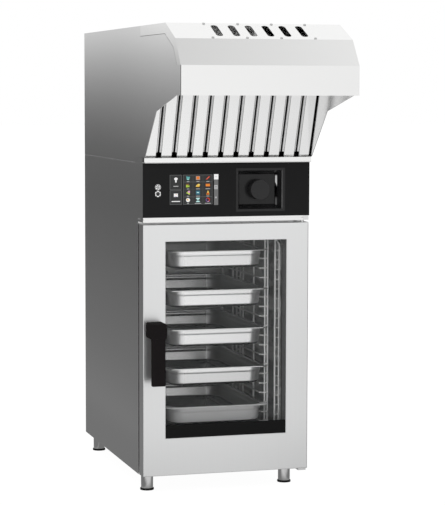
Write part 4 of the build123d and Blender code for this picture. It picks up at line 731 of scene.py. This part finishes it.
def touch_icons():
    """Two round signs on the glass: a disc of blades and a ring of short marks."""
    x = TOUCH_X
    low, top = TOUCH_Z
    shapes = [(LABEL, 0, sector(x, top, 7.2, 9.0, start, start + 90)) for start in range(0, 360, 90)]
    for start in range(20, 380, 60):
        shapes.append((WHITE, 0, sector(x, top, 1.6, 6.8, start, start + 34, 6)))
    for start in range(0, 360, 60):
        shapes.append((WHITE, 0, sector(x, low, 6.2, 9.0, start + 6, start + 54, 6)))
        shapes.append((LABEL, 0, sector(x, low, 3.6, 5.4, start + 20, start + 40, 4)))
    return plates("touch_icons", shapes, PANEL_FACE, screen_light, "cabinet")


screen_page()
touch_icons()


# Black band on the window, and the bevel of the knob recess

BAND_X = (-188.9, 188.9)
BAND_Z = (173.8, 214.0)
BAND_CORNER = 1.5
BAND_THICKNESS = 0.15 * MM


def window_band():
    """Enamelled band along the foot of the glass: a rectangle whose upper corners are small arcs."""
    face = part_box("outer_glass")[0][1]
    x, z = BAND_X, BAND_Z
    right = arc((x[1] - BAND_CORNER, z[1] - BAND_CORNER), BAND_CORNER, 0, 90, 6)
    left = arc((x[0] + BAND_CORNER, z[1] - BAND_CORNER), BAND_CORNER, 90, 180, 6)
    outline = np.concatenate([[(x[0], z[0]), (x[1], z[0])], right, left]) * MM
    points, faces = prism(outline, face - BAND_THICKNESS, BAND_THICKNESS)
    return piece("window_band", points, faces, band_enamel, "door", smooth=False)


RECESS_MIDDLE = 918.0
RECESS_REACH = 44.8
RECESS_TAPER = 13 / 32
RECESS_FLOOR = -172.5
BEVEL_SECTION = [(159.2, -172.5), (159.2, -177.2), (164.1, -180.5), (161, -172.5)]


def recess_bevel():
    """Slanted strip in the recess's right corner: its section run from wall to wall, which lean outwards."""
    section = np.array(BEVEL_SECTION)
    reach = RECESS_REACH + RECESS_TAPER * (RECESS_FLOOR - section[:, 1])
    rows = [np.column_stack([section, RECESS_MIDDLE + side * reach]) for side in (-1, 1)]
    points = np.concatenate(rows) * MM
    faces = net(2, 4) + [[3, 2, 1, 0], [4, 5, 6, 7]]
    return piece("recess_bevel", points, faces, bevel_reflection, "cabinet", smooth=False)


window_band()
recess_bevel()


# Camera, set at the photograph's viewing angle

VIEW_AZIMUTH = math.radians(-16.39)
VIEW_ELEVATION = math.radians(4.86)
VIEW_ROLL = math.radians(0.13)
EYE = Vector((-1.611, -5.6325, 1.212))
PHOTO_HEIGHT = 505
FOCAL_PIXELS = 1894
SENSOR = 36.0

camera_data = bpy.data.cameras.new("view")
camera = bpy.data.objects.new("view", camera_data)
bpy.context.scene.collection.objects.link(camera)
bpy.context.scene.camera = camera
camera_data.sensor_width = SENSOR
camera_data.lens = FOCAL_PIXELS * SENSOR / PHOTO_HEIGHT
camera_data.clip_start = 0.1
camera_data.clip_end = 200
back = Vector((
    math.sin(VIEW_AZIMUTH) * math.cos(VIEW_ELEVATION),
    -math.cos(VIEW_AZIMUTH) * math.cos(VIEW_ELEVATION),
    math.sin(VIEW_ELEVATION),
))
level_right = Vector((math.cos(VIEW_AZIMUTH), math.sin(VIEW_AZIMUTH), 0))
level_up = back.cross(level_right)
right = math.cos(VIEW_ROLL) * level_right + math.sin(VIEW_ROLL) * level_up
up = math.cos(VIEW_ROLL) * level_up - math.sin(VIEW_ROLL) * level_right
camera.matrix_world = Matrix((
    (right.x, up.x, back.x, EYE.x),
    (right.y, up.y, back.y, EYE.y),
    (right.z, up.z, back.z, EYE.z),
    (0, 0, 0, 1),
))


# Studio: white surroundings, pale floor, soft key light, and grey cards that only reflections see

scene = bpy.context.scene
scene.view_settings.view_transform = "Standard"

SOFT_LIGHT = 0.72
LEAN = 0.11
LEAN_FROM = (0.15, 0.5)
DIM_PATCH = Vector((-0.1, -0.35, 0.93)).normalized()
DIM_LEVEL = 0.6
DIM_INSIDE = math.cos(math.radians(15))
DIM_OUTSIDE = math.cos(math.radians(32))


def studio_world():
    """White for the camera and through glass, a greyer patch overhead in reflections, softer as a light."""
    world = bpy.data.worlds.new("studio")
    scene.world = world
    world.use_nodes = True
    sky = Nodes(world.node_tree)
    path = sky.node("ShaderNodeLightPath")
    camera_ray, glossy_ray, through = [
        Number(sky, path.outputs[name]) for name in ("Is Camera Ray", "Is Glossy Ray", "Is Transmission Ray")
    ]
    x, y, z = sky.axes("Generated")
    towards = x * DIM_PATCH.x + y * DIM_PATCH.y + z * DIM_PATCH.z
    low_front = (1.0 - z.rise(0.1, 0.35)) * (1.0 - y.rise(-0.4, 0.0))
    lean = (x / (abs(y) + 0.05)).rise(*LEAN_FROM) * low_front * LEAN
    mirrored = (1.0 - towards.rise(DIM_OUTSIDE, DIM_INSIDE) * (1 - DIM_LEVEL)) * (1.0 - lean)
    plain = (camera_ray + through).maths("MINIMUM", camera_ray + through, 1.0)
    other = 1.0 - plain
    level = plain + other * (glossy_ray * mirrored + (1.0 - glossy_ray) * SOFT_LIGHT)
    sky.feed(sky.tree.nodes["Background"].inputs["Strength"], level)
    sky.tree.nodes["Background"].inputs["Color"].default_value = (1, 1, 1, 1)


studio_world()


def stage_sheet(name, corners, material):
    mesh = bpy.data.meshes.new(name)
    mesh.from_pydata(corners, [], [(0, 1, 2, 3)])
    mesh.materials.append(material)
    made = bpy.data.objects.new(name, mesh)
    scene.collection.objects.link(made)
    return made


FLOOR_LEVELS = [
    (0.0, 0.64), (0.8, 0.64), (1.05, 0.86), (1.55, 0.86), (2.0, 0.69), (4.0, 0.81), (9.0, 0.97), (16.0, 1.0),
]
SHADOW_AND_PATCH_LEVEL = 0.19
SEEN_FLOOR = 0.965


def floor_material():
    """White to the eye, with the object's shadow. Reflections see it greyer near by, a painted dark patch
    beside the oven and a painted shadow under it.
    """
    floor = Finish("floor_paper", (0.8, 0.8, 0.8), Roughness=0.9)
    path = floor.node("ShaderNodeLightPath")
    x, y, _ = floor.axes()
    # Painted dark patch beside the oven, seen only in reflections.
    across = abs(x).rise(0.2, 0.3) * (1.0 - abs(x).rise(0.6, 0.9))
    beside = across * y.rise(-0.3, -0.15) * (1.0 - y.rise(5.0, 6.0))
    # Painted shadow under the oven, seen only in reflections.
    under = (1.0 - abs(x).rise(0.24, 0.3)) * y.rise(-0.25, -0.1) * (1.0 - y.rise(0.6, 0.75))
    shadow_and_patch = beside.maths("MAXIMUM", beside, under)
    lean = (x / (abs(y) + 0.3)).rise(*LEAN_FROM) * LEAN
    level = abs(y).curve(FLOOR_LEVELS) * (1.0 - lean) * (1.0 - shadow_and_patch) + shadow_and_patch * SHADOW_AND_PATCH_LEVEL
    seen_floor = floor.node("ShaderNodeEmission", None, {"Strength": SEEN_FLOOR})
    shaded = floor.node("ShaderNodeBsdfDiffuse", None, {"Color": (0.1, 0.1, 0.1, 1)})
    lit = floor.node("ShaderNodeAddShader", None, {0: seen_floor.outputs[0], 1: shaded.outputs[0]})
    mirrored = floor.node("ShaderNodeEmission", None, {"Strength": level})
    plain = floor.node(
        "ShaderNodeMixShader", None,
        {0: path.outputs["Is Glossy Ray"], 1: floor.shader.outputs[0], 2: mirrored.outputs[0]},
    )
    whole = floor.node(
        "ShaderNodeMixShader", None,
        {0: path.outputs["Is Camera Ray"], 1: plain.outputs[0], 2: lit.outputs[0]},
    )
    floor.surface(whole.outputs[0])
    return floor.material


REACH = 60.0
FLOOR_CORNERS = [(-REACH, -REACH, 0), (REACH, -REACH, 0), (REACH, REACH, 0), (-REACH, REACH, 0)]
stage_sheet("floor", FLOOR_CORNERS, floor_material())

CARD_LEVELS = [
    (-0.08, 0.232), (0.05, 0.205), (0.24, 0.17), (0.43, 0.15), (0.62, 0.128), (0.81, 0.114), (0.94, 0.122),
    (1.026, 0.142), (1.103, 0.183), (1.18, 0.245), (1.255, 0.335), (1.33, 0.45), (1.387, 0.56), (1.55, 0.85),
    (1.7, 1.0),
]
CARD_X = 0.5
CARD_FRONT = -0.4
CARD_BACK = 5.0
CARD_LIGHTER = (0.2, 1.2)
CARD_LIFT = 0.3


def card_material():
    """Grey that changes with height and is lighter towards the front."""
    card = Finish("side_card", (0, 0, 0))
    _, y, z = card.axes()
    level = z.curve(CARD_LEVELS) * (1.0 + (1.0 - y.rise(*CARD_LIGHTER)) * z.rise(0.9, 1.1) * CARD_LIFT)
    glow = card.node("ShaderNodeEmission", None, {"Strength": level})
    card.surface(glow.outputs[0])
    return card.material


card_grey = card_material()
for name, x in (("card_left", -CARD_X), ("card_right", CARD_X)):
    low, high = CARD_LEVELS[0][0], CARD_LEVELS[-1][0]
    corners = [(x, CARD_FRONT, low), (x, CARD_BACK, low), (x, CARD_BACK, high), (x, CARD_FRONT, high)]
    card = stage_sheet(name, corners, card_grey)
    card.visible_camera = False
    card.visible_diffuse = False
    card.visible_transmission = False
    card.visible_shadow = False

KEY_SIZE = 2.4
KEY_POWER = 70
KEY_PLACE = (-2.2, -4.2, 3.4)
KEY_AIM = Vector((0, 0, 0.7))

key_data = bpy.data.lights.new("key", "AREA")
key_data.shape = "RECTANGLE"
key_data.size = KEY_SIZE
key_data.size_y = KEY_SIZE
key_data.energy = KEY_POWER
key = bpy.data.objects.new("key", key_data)
scene.collection.objects.link(key)
key.location = KEY_PLACE
key.rotation_euler = (KEY_AIM - key.location).to_track_quat("-Z", "Y").to_euler()
key.visible_glossy = False
